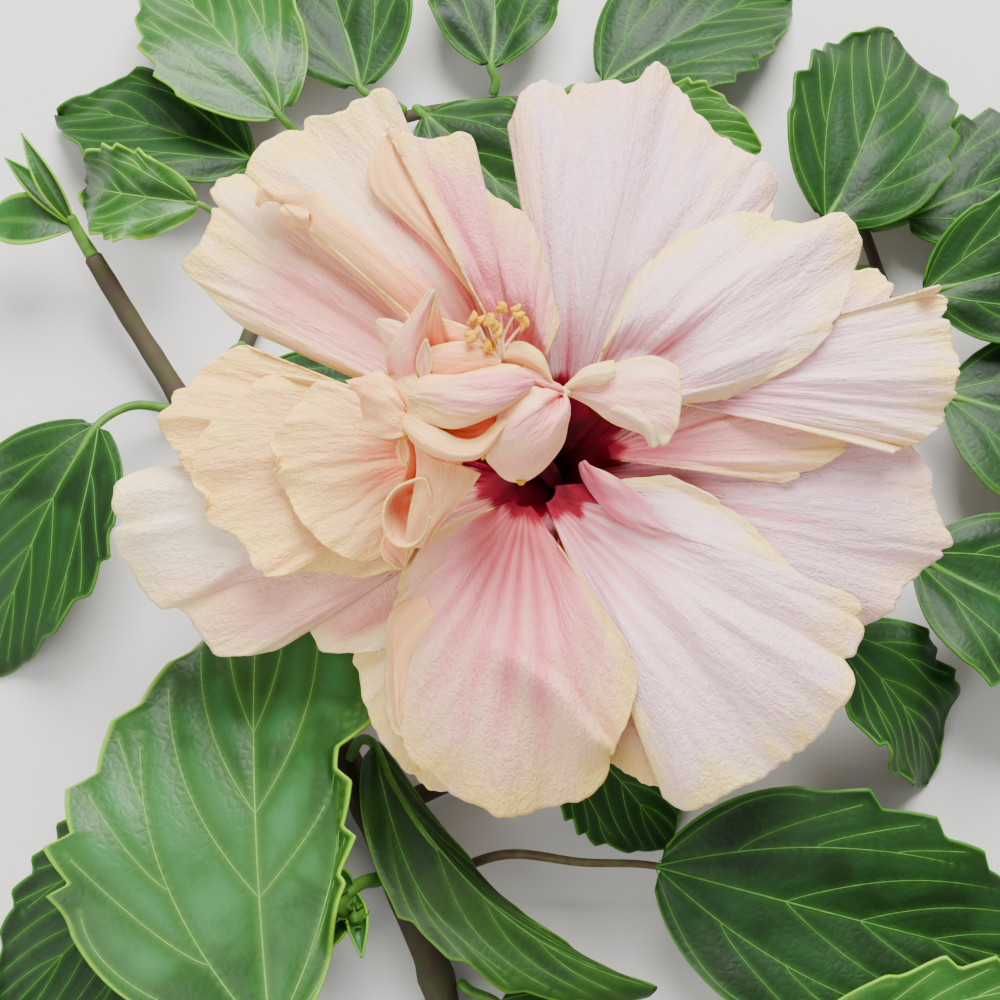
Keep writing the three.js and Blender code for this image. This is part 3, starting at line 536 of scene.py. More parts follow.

# As in the part: a fan from its claw at base to the rim points. Here also the finish, how far out the pink
# reaches (flush), ridges as (path, height, width on its left, width on its right), marks of deeper pink as
# (path, amount, width), some of them also painted shade where a petal lies in the shadow of another's edge,
# and curls of the rim as (place across, half width, length rolled, radius).
PETALS = [
    dict(name="petal_right_back", base=(3, 2), lift=-2, arch=2, rim=-3, ruffle=0.8, waves=2, phase=0.4,
         finish="lilac",
         rim_points=[(36, 36), (42, 40), (53, 38), (59, 38), (62, 34), (64.5, 30), (62, 20), (50, 12)]),
    dict(name="petal_lower_right_back", base=(2, 0), lift=-2, arch=3, rim=-4, ruffle=1, waves=2.5, phase=2,
         # Darker lilac finish: painted shade
         finish="lilac_painted_shade",
         rim_points=[(40, 8), (58, 11), (65, 6.5), (69.5, -2), (70, -7), (73, -12), (67.5, -17),
                     (61.5, -23.5), (57, -27), (45, -28), (30, -19)]),
    dict(name="petal_lower_left_back", base=(-3, -3), lift=-3, arch=2, rim=-2, ruffle=0.9, waves=2, phase=1,
         finish="cream",
         rim_points=[(-30, -14), (-34, -22), (-38, -31.5), (-36, -35), (-35, -41), (-32.5, -46.5), (-24, -56),
                     (-17, -57.5), (-8, -54), (0, -46)]),
    dict(name="petal_bottom_back", base=(1.5, -3), lift=-1, arch=2, rim=-3, ruffle=0.8, waves=1.5, phase=2,
         finish="salmon",
         rim_points=[(-2, -36), (4, -49), (9, -51.5), (13.5, -54), (19, -56), (26, -52), (29, -44),
                     (27, -34)]),
    dict(name="petal_left", base=(-4, -1), lift=-1, arch=3, rim=-3, ruffle=1.4, waves=3, phase=0.5,
         finish="white",
         flush=0.5, ridges=[([(-76, -24), (-66, -21), (-56, -15), (-46, -9.5), (-34, -5)], 3.2, 7, 1.2),
                            ([(-82, -4), (-62, 1), (-44, 3)], 0.8, 1.6, 2.2),
                            ([(-82, -11), (-62, -7), (-46, -4)], 0.9, 1.4, 2.2)],
         # Deeper pink that is also painted shade: over the folded-down lower lobe, and in the crease at its
         # right end
         tints_and_painted_shade=[([(-84, -28), (-57, -25), (-40.5, -23.5), (-16, -17)], 0.62, 9),
                 ([(-46, -31), (-38, -28.5), (-26, -22)], 0.85, 4.5)],
         rim_points=[(-30, 9), (-45, 9.5), (-67, 3), (-79, -0.5), (-80.5, -8.5), (-79, -15), (-72, -23.5),
                     (-68.5, -23.5), (-65.5, -27.5), (-61, -32), (-51, -31), (-45, -28.3), (-42.5, -31.5),
                     (-37, -32), (-29, -30)]),
    dict(name="petal_upper_left", base=(-3, 4), lift=0, arch=3, rim=-3, ruffle=1.2, waves=2, phase=1.5,
         finish="cream", flush=0.7, ridges=[([(-66, 33), (-46, 24), (-26, 14)], 0.9, 2.5, 3.5),
                                             ([(-64, 46), (-44, 35), (-26, 24)], 0.7, 3, 2)],
         # Deeper pink that is also painted shade, under the turned rim of the petal in front
         tints_and_painted_shade=[([(-58, 38), (-34, 26), (-10, 10)], 0.6, 10)],
         rim_points=[(-36, 18), (-48, 23.5), (-58, 28.5), (-64, 34.5), (-67.5, 38.5), (-62.5, 46),
                     (-61.5, 54.5), (-55.5, 55), (-45, 52), (-33, 43)]),
    dict(name="petal_top", base=(1, 3), lift=1, arch=4, rim=-3, ruffle=1.2, waves=3.5, phase=0,
         # Darker lilac finish: painted shade
         finish="lilac_painted_shade",
         flush=0.36, ridges=[([(-3, 74), (-1, 55), (0, 35), (0.5, 20)], 0.9, 1.8, 3),
                             ([(20, 78), (12, 55), (5, 35), (2, 20)], 1.1, 3, 1.6),
                             ([(34, 61), (20, 46), (9, 32)], 0.9, 2, 3)],
         tints_and_painted_shade=[([(-7, 66), (-5, 50), (-3, 34)], 0.4, 3)],
         rim_points=[(-8.5, 63), (-5, 71), (2.5, 71.5), (11, 71.5), (15, 72), (18, 75.5), (23, 70),
                     (28, 63), (36, 58.5), (40, 54.5), (39.5, 49.5), (33, 39)]),
    dict(name="petal_right_short", base=(7, 4), lift=3, arch=1.5, rim=-1, ruffle=0.5, waves=2, phase=1,
         finish="pink",
         rim_points=[(24.5, 1.5), (33, -0.5), (40, -1), (46, 1.5), (51, 4.5), (54, 8.5), (48, 14), (36, 17),
                     (24, 15)]),
    dict(name="petal_lower_right", base=(-2.8, -1.8), lift=5, arch=4, rim=-4, ruffle=1.3, waves=3.5,
         phase=0.8,
         finish="lilac", flush=0.5,
         ridges=[([(12, -12), (24, -28), (38, -48), (44, -56)], 1.1, 3, 1.8),
                 ([(9, -12), (14, -28), (21, -46), (25, -62)], 1.0, 1.8, 3),
                 ([(18, -8), (34, -17), (52, -30)], 0.9, 3, 2)],
         tints_and_painted_shade=[([(6, 0), (12, -7), (22, -11)], 0.3, 2.4), ([(4, -9), (8, -24), (13, -40)], 0.4, 3)],
         rim_points=[(20, 0.5), (30, -4.5), (38, -11.5), (44, -17.5), (54.5, -22.5), (54, -33), (48.5, -45),
                     (39, -52.5), (30.5, -56.5), (24, -59.5), (19.5, -57.5)]),
    dict(name="petal_upper_left_front", base=(-7, 12), lift=5, arch=3, rim=2, ruffle=1.2, waves=2.5, phase=2,
         finish="cream", flush=0.55,
         ridges=[([(-54, 60), (-36, 44), (-22, 28), (-13, 18)], 1.0, 3, 2)],
         # The first mark is painted shade as well as deeper coral, in the crease under the edge of the petal
         # that lies on this one
         tints_and_painted_shade=[([(-32, 48), (-23.5, 43.5), (-19, 38), (-13.5, 30), (-10, 22)], 1.3, 2.6),
                 ([(-30, 34), (-24, 28), (-16, 20)], 0.5, 3)],
         rim_points=[(-26, 28.5), (-44, 43.5), (-54.5, 50), (-54, 56.5), (-46.5, 62), (-38, 65), (-30, 68),
                     (-26, 61), (-18, 52)]),
    dict(name="petal_right", base=(8, 16.5), claw=8, lift=4, arch=4, rim=-2, ruffle=1, waves=2, phase=1.2,
         finish="lilac", curls=[(0.14, 0.14, 4, 1.8)],
         rim_points=[(62, 32.3), (68.5, 35.5), (70, 29), (71.5, 18.5), (68, 8.5), (60, 4.5)]),
    dict(name="petal_bottom", base=(-5.6, -3.4), claw=2, lift=8, arch=4, rim=-5, ruffle=1.4, waves=2.5,
         phase=0.3,
         finish="salmon", flush=0.88,
         ridges=[([(-8, -25), (-7.5, -29), (-5, -32.5), (0.5, -37), (5.5, -44), (11, -50)], 3.8, 0.9, 4.5),
                 ([(-12, -14), (-17, -34), (-20, -56)], 0.8, 2, 3)],
         tints_and_painted_shade=[([(-8, -25), (-7, -32), (-5, -37), (-2, -41.5), (2, -46.5), (6, -49.5)], 0.1, 3)],
         rim_points=[(-20, -8.5), (-26, -13.5), (-29, -22.5), (-30.5, -33), (-29.5, -45), (-21, -54),
                     (-8.5, -60.5), (0, -58.5), (7, -56), (11, -46), (14, -36), (12, -29)]),
    dict(name="petal_upper_centre", base=(-5, 14), lift=8, arch=3, rim=1, ruffle=1.2, waves=1.5, phase=2.5,
         finish="pink", flush=0.9,
         ridges=[([(-32, 62), (-27, 50), (-16, 34), (-9, 22)], 1.5, 3, 1.6),
                 ([(-22, 60), (-15, 42), (-9, 26)], 0.6, 2.5, 2.5)],
         # The first mark, along the edge that rests on the petal beside, is painted shade as well as deeper
         # pink
         tints_and_painted_shade=[([(-34, 46), (-24, 36), (-12, 22)], 0.6, 3), ([(-30, 60), (-17, 42), (-4, 16)], 0.5, 10)],
         rim_points=[(-13.5, 30), (-22, 40.5), (-34.5, 52.5), (-31, 61), (-23, 59), (-15.5, 59.5), (-13, 51),
                     (-5.5, 46), (-2, 36.5), (0.5, 27)]),
    dict(name="petal_upper_right", base=(3.5, 11), lift=8, arch=4, rim=-2, ruffle=1, waves=2.5, phase=0.2,
         finish="lilac", flush=0.5,
         ridges=[([(10, 17), (28, 31), (52, 46)], 0.9, 3, 2), ([(14, 15), (30, 21), (50, 30)], 0.8, 2, 3)],
         rim_points=[(9, 25), (13, 34), (19.5, 41), (33.5, 47), (44, 45), (50.5, 46.5), (53.5, 43),
                     (52.5, 36), (48, 26), (42, 20), (30, 14)]),
    dict(name="petaloid_left_back", base=(-14, 7), lift=2, arch=2, rim=1, ruffle=0.7, waves=2, phase=0.6,
         finish="peach", rim_points=[(-44, 19), (-54.5, 24), (-65, 18), (-70.5, 10), (-68, 4), (-62, -3),
                                     (-50, -10)]),
    dict(name="petaloid_left_middle", base=(-15, 6), lift=5, arch=2, rim=1.5, ruffle=0.9, waves=3, phase=1.6,
         finish="peach", curls=[(0.45, 0.06, 3, 1.4)],
         rim_points=[(-42, 17), (-51, 18), (-58, 13), (-64.5, 4), (-62, -7), (-55, -12), (-53, -17),
                     (-43, -16.5), (-35, -17.5), (-27, -16)]),
    dict(name="petaloid_left_front", base=(-17, 5), lift=9, arch=2, rim=1, ruffle=0.9, waves=2.5, phase=2.4,
         finish="peach", curls=[(0.42, 0.07, 3, 1.4)],
         rim_points=[(-33, 15.5), (-42.5, 16.5), (-47, 10.5), (-50.5, 5.5), (-45.5, -6.5), (-39, -13),
                     (-32.5, -14.5), (-27, -9)]),
]

# Rims and folds that turn over on a petal, as nets of (u, v, height above that petal). Rows run across a fold
# and columns along it.
TURNED = {
    "petal_upper_left_front": [
        dict(finish="peach", blush=(0.0, 0.55), net=[
            [(-41, 50.5, 0.1), (-38.5, 47.5, 0.1), (-34, 43.5, 0.1), (-31, 41, 0.1), (-28, 38, 0.1),
             (-24.5, 35, 0.1), (-21.5, 32.5, 0.1)],
            [(-42, 50, 1.9), (-39.5, 47, 1.9), (-35, 43, 1.9), (-32, 40, 1.9), (-29, 37.5, 1.9),
             (-25.5, 34.5, 1.9), (-22, 31.5, 1.9)],
            [(-43, 48.5, 1.7), (-41.5, 44.5, 1.7), (-37, 41, 1.7), (-33.5, 38, 1.7), (-30.5, 35, 1.7),
             (-27, 31.5, 1.7), (-24, 28.5, 1.7)],
            [(-44, 45, -0.3), (-43, 42, -0.6), (-38, 38, -0.8), (-34.3, 34.7, -0.8), (-31.3, 32, -0.8),
             (-28.3, 29, -0.8), (-25.3, 26, -0.8)]]),
        dict(finish="peach", blush=(0.0, 0.1), net=[
            [(-52.5, 49, 0.2), (-51.5, 51.5, 0.2), (-49, 50.5, 0.2), (-46.5, 51, 0.2), (-42, 51, 0.2)],
            [(-53, 48, 1.2), (-52, 50.5, 1.4), (-49, 49.5, 1.4), (-46.5, 50, 1.4), (-42.5, 50, 1.4)],
            [(-52.5, 47.5, 0.4), (-51.5, 48.5, 0.6), (-49, 48.5, 0.6), (-46.5, 47.5, 0.6),
             (-43.5, 46.5, 0.6)]]),
        dict(finish="peach", blush=(0.0, 0.0), net=[
            [(-48, 48, 0.3), (-46, 48, 0.3), (-43.5, 46.5, 0.3)],
            [(-48.5, 46.5, 2), (-46, 46, 2.2), (-43.5, 45.5, 2)],
            [(-47.5, 45, 0.3), (-46, 44, 0.3), (-43.5, 44, 0.3)]]),
    ],
    "petal_bottom": [
        dict(finish="peach", blush=(0.25, 0.0), net=[
            [(-23, -20.5, 0.0), (-26.5, -21.5, 0.2), (-29.5, -24, 0.3), (-30.3, -27, 0.3), (-30, -30.5, 0.3),
             (-29.5, -36, 0.2), (-29, -42, 0.1), (-28, -47, 0.0)],
            [(-22.5, -22, 0.4), (-25.6, -23, 1.3), (-28, -25.5, 1.9), (-28.8, -28, 2.0), (-29, -31, 1.7),
             (-28.8, -36, 1.2), (-28.4, -42, 0.7), (-27.8, -47, 0.2)],
            [(-21.5, -23.5, 0.3), (-23.8, -25, 0.9), (-25.8, -27.5, 1.2), (-27, -29.7, 1.3),
             (-27.6, -32.5, 1.1), (-27.8, -37, 0.8), (-27.6, -42, 0.4), (-27.3, -47, 0.1)],
            [(-20, -24.5, -0.4), (-21.5, -27, -0.4), (-23.5, -29.5, -0.4), (-25, -31.5, -0.4),
             (-26, -34.5, -0.4), (-26.6, -38, -0.4), (-26.8, -42, -0.4), (-27, -47, -0.4)]]),
    ],
    "petal_upper_centre": [
        dict(finish="peach", blush=(0.0, 0.45), net=[
            [(-28, 61, 0.2), (-26, 54.5, 0.4), (-23.5, 49.5, 0.5), (-21, 45.5, 0.5), (-18, 41, 0.4),
             (-15.5, 36.5, 0.3), (-12, 30.5, 0.2)],
            [(-29.5, 60, 1.0), (-29.5, 54.5, 1.7), (-27.5, 49.5, 1.9), (-24, 45.5, 1.9), (-20.5, 41, 1.7),
             (-17, 36.5, 1.3), (-12.8, 30.5, 0.7)],
            [(-31, 59, 0.6), (-33, 55, 0.8), (-32.5, 50.5, 0.9), (-27.5, 45.5, 0.8), (-22.5, 41, 0.6),
             (-18.5, 36.5, 0.4), (-13.5, 30.5, 0.2)]]),
    ],
    "petal_lower_right": [
        dict(finish="rose", blush=(0.8, 0.4), net=[
            [(4.5, 2.5, 0.1), (5, 0.5, 0.1), (7, -3, 0.1), (10, -6.5, 0.1), (13, -8.5, 0.1), (16.5, -10, 0.1),
             (19.5, -10, 0.1)],
            [(4.8, 3, 1.6), (5.7, 1, 2.3), (7.7, -2.5, 2.6), (10.3, -5.7, 2.6), (13.3, -7.7, 2.3),
             (17, -9.5, 1.6), (20, -9.7, 0.5)],
            [(5.2, 3.2, 1.2), (6.8, 1, 1.8), (9.2, -1.7, 1.9), (11.8, -4.5, 1.8), (14.7, -6.8, 1.5),
             (17.6, -8.6, 1.0), (20, -9.4, 0.3)],
            [(5.8, 2.5, 0.0), (9, 1, 0.0), (12, -0.8, 0.0), (15, -3, 0.0), (17.5, -5.5, 0.0), (19, -7.5, 0.0),
             (20.2, -9, 0.0)]]),
    ],
}


def throat(radius):
    """Height of the throat's wall at this distance from its middle."""
    return -THROAT_DEPTH / (1 + (radius / THROAT_RADIUS) ** 2) ** THROAT_FALL


def height_under(sheet, u, v):
    """Height of a laid petal under each point, and how fully it counts there."""
    du, dv = u - sheet["base"][0], v - sheet["base"][1]
    reach = np.hypot(du, dv)
    span = sheet["turns"][-1] - sheet["turns"][0]
    turn = np.arctan2(dv, du) - sheet["turns"][0]
    turn = turn - 2 * np.pi * np.rint((turn - span / 2) / (2 * np.pi))
    way = np.sign(span)
    past = np.maximum(-turn * way, turn * way - span * way)
    outside = np.where(past > 0, reach * past, 0)
    marks = (sheet["turns"] - sheet["turns"][0]) * way
    row = np.interp(turn * way, marks, np.arange(len(marks)))
    last = len(marks) - 1
    i = np.minimum(last - 1, row.astype(int))
    part = row - i
    rim = sheet["reaches"][i] * (1 - part) + sheet["reaches"][i + 1] * part
    outside = np.maximum(outside, np.maximum(reach - rim, sheet["claw"] - reach))
    columns = sheet["heights"].shape[1] - 1
    a = clamp01((reach - sheet["claw"]) / (rim - sheet["claw"])) * columns
    j = np.minimum(columns - 1, a.astype(int))
    step = a - j
    heights = sheet["heights"]
    low = heights[i, j] * (1 - step) + heights[i, j + 1] * step
    high = heights[i + 1, j] * (1 - step) + heights[i + 1, j + 1] * step
    return low * (1 - part) + high * part, 1 - smooth((outside - EDGE_FLAT) / EDGE_FADE)


def eye_amount(rng, u, v):
    """How far inside the crimson eye each point lies: 0 at its ragged border and 1 in its middle."""
    du, dv = (u - EYE_CENTRE[0]) * EYE_SQUEEZE, v - EYE_CENTRE[1]
    angle = np.arctan2(dv, du) / (2 * np.pi)
    ragged = ripples(rng, angle, 0 * angle, 5, (5, 26), (0, 0))
    reach = EYE_RADIUS + EYE_RAGGED * ragged
    return np.clip((reach - np.hypot(du, dv)) / EYE_RADIUS, -1, 1)


def roll_edge(points, outward, s, beyond, curl):
    """Rolls the outer stretch of a petal's rim up and over, where the curl says."""
    place, half_width, length, radius = curl
    rolled = points.copy()
    for i in range(points.shape[0]):
        share = float(smooth(1 - abs(s[i, 0] - place) / half_width))
        start = length * share
        if start < LEAST_ROLL:
            continue
        order = beyond[i][::-1]
        origin = np.array([np.interp(start, order, points[i, ::-1, k]) for k in range(3)])
        past = start - beyond[i]
        turned = past > 0
        angle = past[turned] / radius
        rolled[i, turned] = (origin + np.outer(radius * np.sin(angle), [*outward[i], 0])
                             + np.outer(radius * (1 - np.cos(angle)), [0, 0, 1]))
    return rolled


def crumple(rng, s, a):
    """Pleats that start at random places along the fan and run to the rim, with finer creases over them."""
    rise = np.zeros_like(s)
    for _ in range(PLEATS):
        place = rng.uniform(*PLEAT_PLACE)
        height = rng.uniform(*PLEAT_HEIGHT) * rng.choice((-1, 1))
        width = rng.uniform(*PLEAT_WIDTH)
        start = rng.uniform(*PLEAT_START)
        bend = rng.uniform(*PLEAT_BEND)
        stray = rng.uniform(*PLEAT_STRAY) * np.sin(2 * np.pi * rng.uniform(1, 2.6) * a + rng.uniform(0, 6))
        across = np.exp(-((s - place - bend * a - stray) / width) ** 2)
        rise += height * across * smooth((a - start) / FADE_IN)
    rise += CREASE * ripples(rng, s, a, 7, (2, 8), (-1.2, 1.2)) * smooth(a / FADE_IN)
    rise += FINE_CREASE * ripples(rng, s, a, 8, (18, 40), (-9, 9)) * smooth(a / FADE_IN)
    rise += RIM_CREASE * ripples(rng, s, 0 * a, 4, (2, 7), (0, 0)) * a ** 7
    return rise


def rim_reaches(rng, reaches, s):
    """Reach of the rim with its ripples and a few nicks."""
    wavy = RIM_RIPPLE * ripples(rng, s, 0 * s, 6, (3, 14), (0, 0))
    wavy = 1 + wavy + FINE_RIM_RIPPLE * ripples(rng, s, 0 * s, 8, (18, 40), (0, 0))
    reaches = reaches * wavy
    for nick in rng.uniform(0.06, 0.94, NICKS):
        reaches = reaches * (1 - NICK_DEPTH * np.exp(-((s - nick) / NICK_WIDTH) ** 2))
    return reaches


def faded(share):
    """How fully a ridge or a mark counts along its path, which fades at both ends."""
    return smooth(share / PATH_END) * smooth((1 - share) / PATH_END)


def lay_petal(petal, placed, seed):
    """Lays a petal in the throat and on the petals placed before it.

    Gives its sheet for the next ones, its points, and its values for the finish.
    """
    rng = np.random.default_rng(seed)
    across, along = PETAL_POINTS
    base = np.array(petal["base"], float)
    claw = petal.get("claw", CLAW_LENGTH)
    spread = smooth_route(petal["rim_points"], across) - base
    edge_s = np.linspace(0, 1, across)
    reaches = rim_reaches(rng, np.linalg.norm(spread, axis=1), edge_s)
    turns = np.unwrap(np.arctan2(spread[:, 1], spread[:, 0]))
    # The fan turns one way only
    way = np.sign(turns[-1] - turns[0])
    turns = np.maximum.accumulate(turns * way + LEAST_TURN * np.arange(across)) * way
    outward = np.stack([np.cos(turns), np.sin(turns)], axis=1)

    # s runs across the fan, and a from the claw to the rim
    s, a = np.meshgrid(edge_s, np.linspace(0, 1, along), indexing="ij")
    out = claw + (reaches[:, None] - claw) * a
    u = base[0] + outward[:, :1] * out
    v = base[1] + outward[:, 1:] * out
    w = throat(np.hypot(u, v)) + petal["lift"] * smooth(2 * a) + petal["arch"] * np.sin(np.pi * a)
    w += petal["rim"] * a ** 3
    w += petal["ruffle"] * np.sin(2 * np.pi * petal["waves"] * s + petal["phase"]) * a ** 2.5
    for lower in placed:
        under, weight = height_under(lower, u, v)
        steep = clamp01(-throat(np.hypot(u, v)) / STEEP_DEPTH)
        needed = under + PETAL_CLEARANCE * (1 + CLAW_ROOM * steep * (1 - a))
        w += np.where(needed > w, (needed - w) * weight, 0)
    sheet = dict(base=base, claw=claw, turns=turns, reaches=reaches, heights=w.copy())

    w += crumple(rng, s, a)
    flush = petal.get("flush", USUAL_FLUSH)
    blush = (flush + 0.12 * ripples(rng, s, a, 6, (2, 14), (0, 1)) - a) / flush
    # Marks of deeper pink and of painted shade raise the blush along their paths
    for path, amount, width in petal.get("tints_and_painted_shade", []):
        signed, share = beside(path, u, v)
        blush = np.maximum(blush, amount * np.exp(-(signed / width) ** 2) * faded(share))
    for path, height, left, right in petal.get("ridges", []):
        signed, share = beside(path, u, v)
        w += height * np.exp(-(signed / np.where(signed > 0, left, right)) ** 2) * faded(share)
    points = np.stack([u, v, w], axis=-1)
    beyond = (1 - a) * (reaches[:, None] - claw)
    for curl in petal.get("curls", []):
        points = roll_edge(points, outward, s, beyond, curl)

    # The margin lies along the rim where that is far out, and narrower along the sides
    sides = out * np.minimum(np.abs(turns - turns[0]), np.abs(turns - turns[-1]))[:, None]
    full_rim = smooth((reaches[:, None] - NEAR_RIM[0]) / (NEAR_RIM[1] - NEAR_RIM[0]))
    full_side = SIDE_MARGIN * smooth((a - 0.3) / 0.6)
    distance = np.minimum(beyond / (full_rim + 1e-3), sides / (full_side + 1e-3))
    margin = MARGIN_WIDTH * (1 + 0.35 * ripples(rng, s, a, 4, (2, 9), (0, 2)))
    values = {"edge": 1 - smooth(distance / margin), "eye": eye_amount(rng, u, v), "blush": clamp01(blush)}
    if way < 0:
        points = points[::-1]
        values = {key: amount[::-1] for key, amount in values.items()}
    return sheet, points, values


def throat_lining():
    """Crimson floor of the throat, just under the claws of the petals, closed on its underside."""
    round_it, out = LINING_POINTS
    radii = np.concatenate([np.linspace(0, LINING_RADIUS, out), np.linspace(LINING_RADIUS, 0, out)])
    drop = np.concatenate([np.full(out, LINING_DROP), np.full(out, LINING_DROP + PETAL_THICKNESS)])
    turns, reach = np.meshgrid(np.linspace(0, 2 * np.pi, round_it), radii, indexing="ij")
    u, v = reach * np.cos(turns), reach * np.sin(turns)
    points = np.stack([u, v, throat(reach) - drop], axis=-1)
    eye = eye_amount(np.random.default_rng(90), u, v)
    values = {"eye": eye, "blush": np.ones_like(u), "edge": np.zeros_like(u)}
    return grid_piece("lining", from_bloom(points), None, [PETAL_FINISHES["lilac"]], values, weld=True)


def petaloid_piece(name, grid, finish, seed, wrinkle=0.16, margin=1.6, blush=(0.9, 0.1)):
    """Petaloid with its own soft wrinkles. blush runs along it from the first column to the last."""
    rng = np.random.default_rng(seed)
    rows, cols = grid.shape[:2]
    s, a = np.meshgrid(np.linspace(0, 1, rows), np.linspace(0, 1, cols), indexing="ij")
    lift = wrinkle * (ripples(rng, s, a, 6, (1, 4), (-2, 2)) + 0.3 * ripples(rng, s, a, 6, (4, 10), (-7, 7)))
    grid = grid + surface_normals(grid) * lift[..., None]
    step_s = np.linalg.norm(np.gradient(grid, axis=0), axis=-1)
    step_a = np.linalg.norm(np.gradient(grid, axis=1), axis=-1)
    from_side = np.minimum(np.cumsum(step_s, axis=0), np.cumsum(step_s[::-1], axis=0)[::-1])
    from_end = np.cumsum(step_a[:, ::-1], axis=1)[:, ::-1]
    distance = np.minimum(from_side, from_end)
    values = {
        "edge": 1 - smooth(distance / margin),
        "eye": np.full_like(s, -1.0),
        "blush": clamp01(blush[0] + (blush[1] - blush[0]) * a + 0.15 * ripples(rng, s, a, 4, (1, 4), (0, 2))),
    }
    return grid_piece(name, from_bloom(grid), PETALOID_THICKNESS, [PETAL_FINISHES[finish]], values,
                      grain=PETALOID_GRAIN)


def turned_piece(fold, sheet, seed):
    """Fold of a petal, lying on the sheet that it belongs to."""
    grid = net_grid(fold["net"], *TURNED_POINTS)
    under, _ = height_under(sheet, grid[..., 0], grid[..., 1])
    grid[..., 2] += under
    return petaloid_piece("turned", grid, fold["finish"], seed, 0.08, 0.9, fold["blush"])


finish_piece("throat_lining", [throat_lining()], "petal")
placed = []
for number, petal in enumerate(PETALS):
    name = petal["name"]
    sheet, points, values = lay_petal(petal, placed, 100 + number)
    placed.append(sheet)
    finish = PETAL_FINISHES[petal["finish"]]
    parts = [grid_piece("blade", from_bloom(points), PETAL_THICKNESS, [finish], values)]
    parts += [turned_piece(fold, sheet, 200 + number) for fold in TURNED.get(name, [])]
    finish_piece(name + "_skin", parts, "petaloid" if name.startswith("petaloid") else "petal", name)

# Knot of petaloids
# Nets of points on the bloom's axes. Rows run across a petaloid and columns along it.
HOOD = [
    [(-25, 15, 20), (-22.5, 17, 22.5), (-17, 17.3, 24.5), (-12.5, 18, 25), (-8, 18.4, 25), (-6, 17.4, 24)],
    [(-26, 13.5, 22), (-23.5, 15.6, 25.5), (-17.5, 15.8, 28), (-12.5, 17, 28.5), (-7, 17.3, 28),
     (-5.4, 16.6, 26)],
    [(-27, 11, 21.5), (-23, 12.5, 27), (-17, 12.5, 30.5), (-12, 13.5, 31), (-7, 15.5, 29.5),
     (-5, 16.2, 26.5)],
    [(-27.5, 8, 20.5), (-22, 8.5, 26), (-17, 8, 29), (-11.5, 10, 29.5), (-7.5, 12.5, 28), (-5, 14.7, 25.5)],
    [(-26, 7, 18.5), (-20.5, 8.5, 22), (-16, 9.5, 24), (-11, 11.5, 24.5), (-8, 13, 24), (-5.5, 14.5, 23)],
]
HOOD_WING = [
    [(-4.8, 16.8, 26.4), (-8, 17.6, 28.8), (-12.5, 17, 29.4), (-17, 16.2, 28.8), (-21.6, 15.2, 26.8),
     (-24.8, 14, 25)],
    [(-4.6, 16, 27.2), (-7.6, 16, 30.6), (-12, 15.2, 31.9), (-17.2, 14.8, 31), (-21.7, 14, 28.4),
     (-25, 13.5, 25.6)],
    [(-4.6, 15.2, 27.4), (-7.8, 13.6, 30.9), (-12.4, 12.2, 32.1), (-17.6, 12.2, 31.5), (-21.8, 12.8, 28.6),
     (-25.1, 13.1, 25.7)],
    [(-5, 14.6, 26.6), (-8.4, 11.6, 29.8), (-13, 9.8, 30.8), (-18, 9.9, 30.4), (-22, 11.6, 27.8),
     (-25.1, 12.6, 25.5)],
]
LIP = [
    [(-26.4, 10.8, 23), (-24, 9.6, 25.6), (-21.6, 8.4, 27), (-19, 7.2, 27.4), (-17, 6.2, 27.2),
     (-14.5, 6, 27), (-12, 7.4, 27), (-10, 9.4, 27.4), (-8, 10, 27)],
    [(-26.8, 9.2, 23), (-24.5, 6.6, 26.2), (-21.7, 4.7, 28.2), (-17.6, 3.4, 28.8), (-13.8, 3.8, 28.8),
     (-11.5, 5.8, 28.6), (-9.6, 8.2, 28.6), (-7.4, 9.4, 27.6)],
    [(-26.6, 8.6, 22), (-24.4, 6, 25), (-21.6, 4.1, 26.8), (-17.6, 2.9, 27.2), (-13.6, 3.3, 27.2),
     (-11.3, 5.3, 27), (-9.6, 7.4, 27), (-7.8, 8.6, 26.5)],
    [(-26, 7.4, 19.5), (-24, 5.2, 21.5), (-21.3, 3.6, 22.5), (-17.6, 2.8, 22.5), (-13.9, 3.1, 22.5),
     (-12, 4.8, 22.5), (-10.6, 6.4, 23.5), (-9, 7.6, 24.4)],
]
LIP_INSIDE = [
    [(-26.2, 10.6, 22.6), (-21.4, 8, 26.8), (-17, 6.2, 27), (-14, 6.2, 26.8), (-10.6, 8.8, 27.2)],
    [(-25, 11.4, 20), (-21, 9.4, 23), (-17.2, 8, 23), (-14.5, 8.2, 23), (-11, 9.6, 24)],
    [(-23.7, 13, 17), (-20.3, 11.5, 19), (-17.2, 11.5, 20), (-14.5, 12, 20), (-11, 13, 21)],
]
BULGE_JOINT = (0.8, 14.4, 19)
BULGE_RIM = [(-9, 15.4, 24), (-10.2, 10.2, 25), (-12, 6, 24), (-12.4, 3.4, 21), (-11, 1.3, 18.5),
             (-8.5, -0.5, 16.5), (-5.5, -0.5, 15.5), (-2, 1.8, 15), (0.5, 5.5, 15), (1.4, 10, 15.5),
             (1.2, 13, 17)]
BULGE_RISE = [(2.5, 3), (5, 4.5), (7, 6), (8, 7.5), (8.5, 8.5), (8.5, 8.5), (8, 8), (7, 7), (5.5, 5.5),
              (4, 3.5), (2, 1.5)]
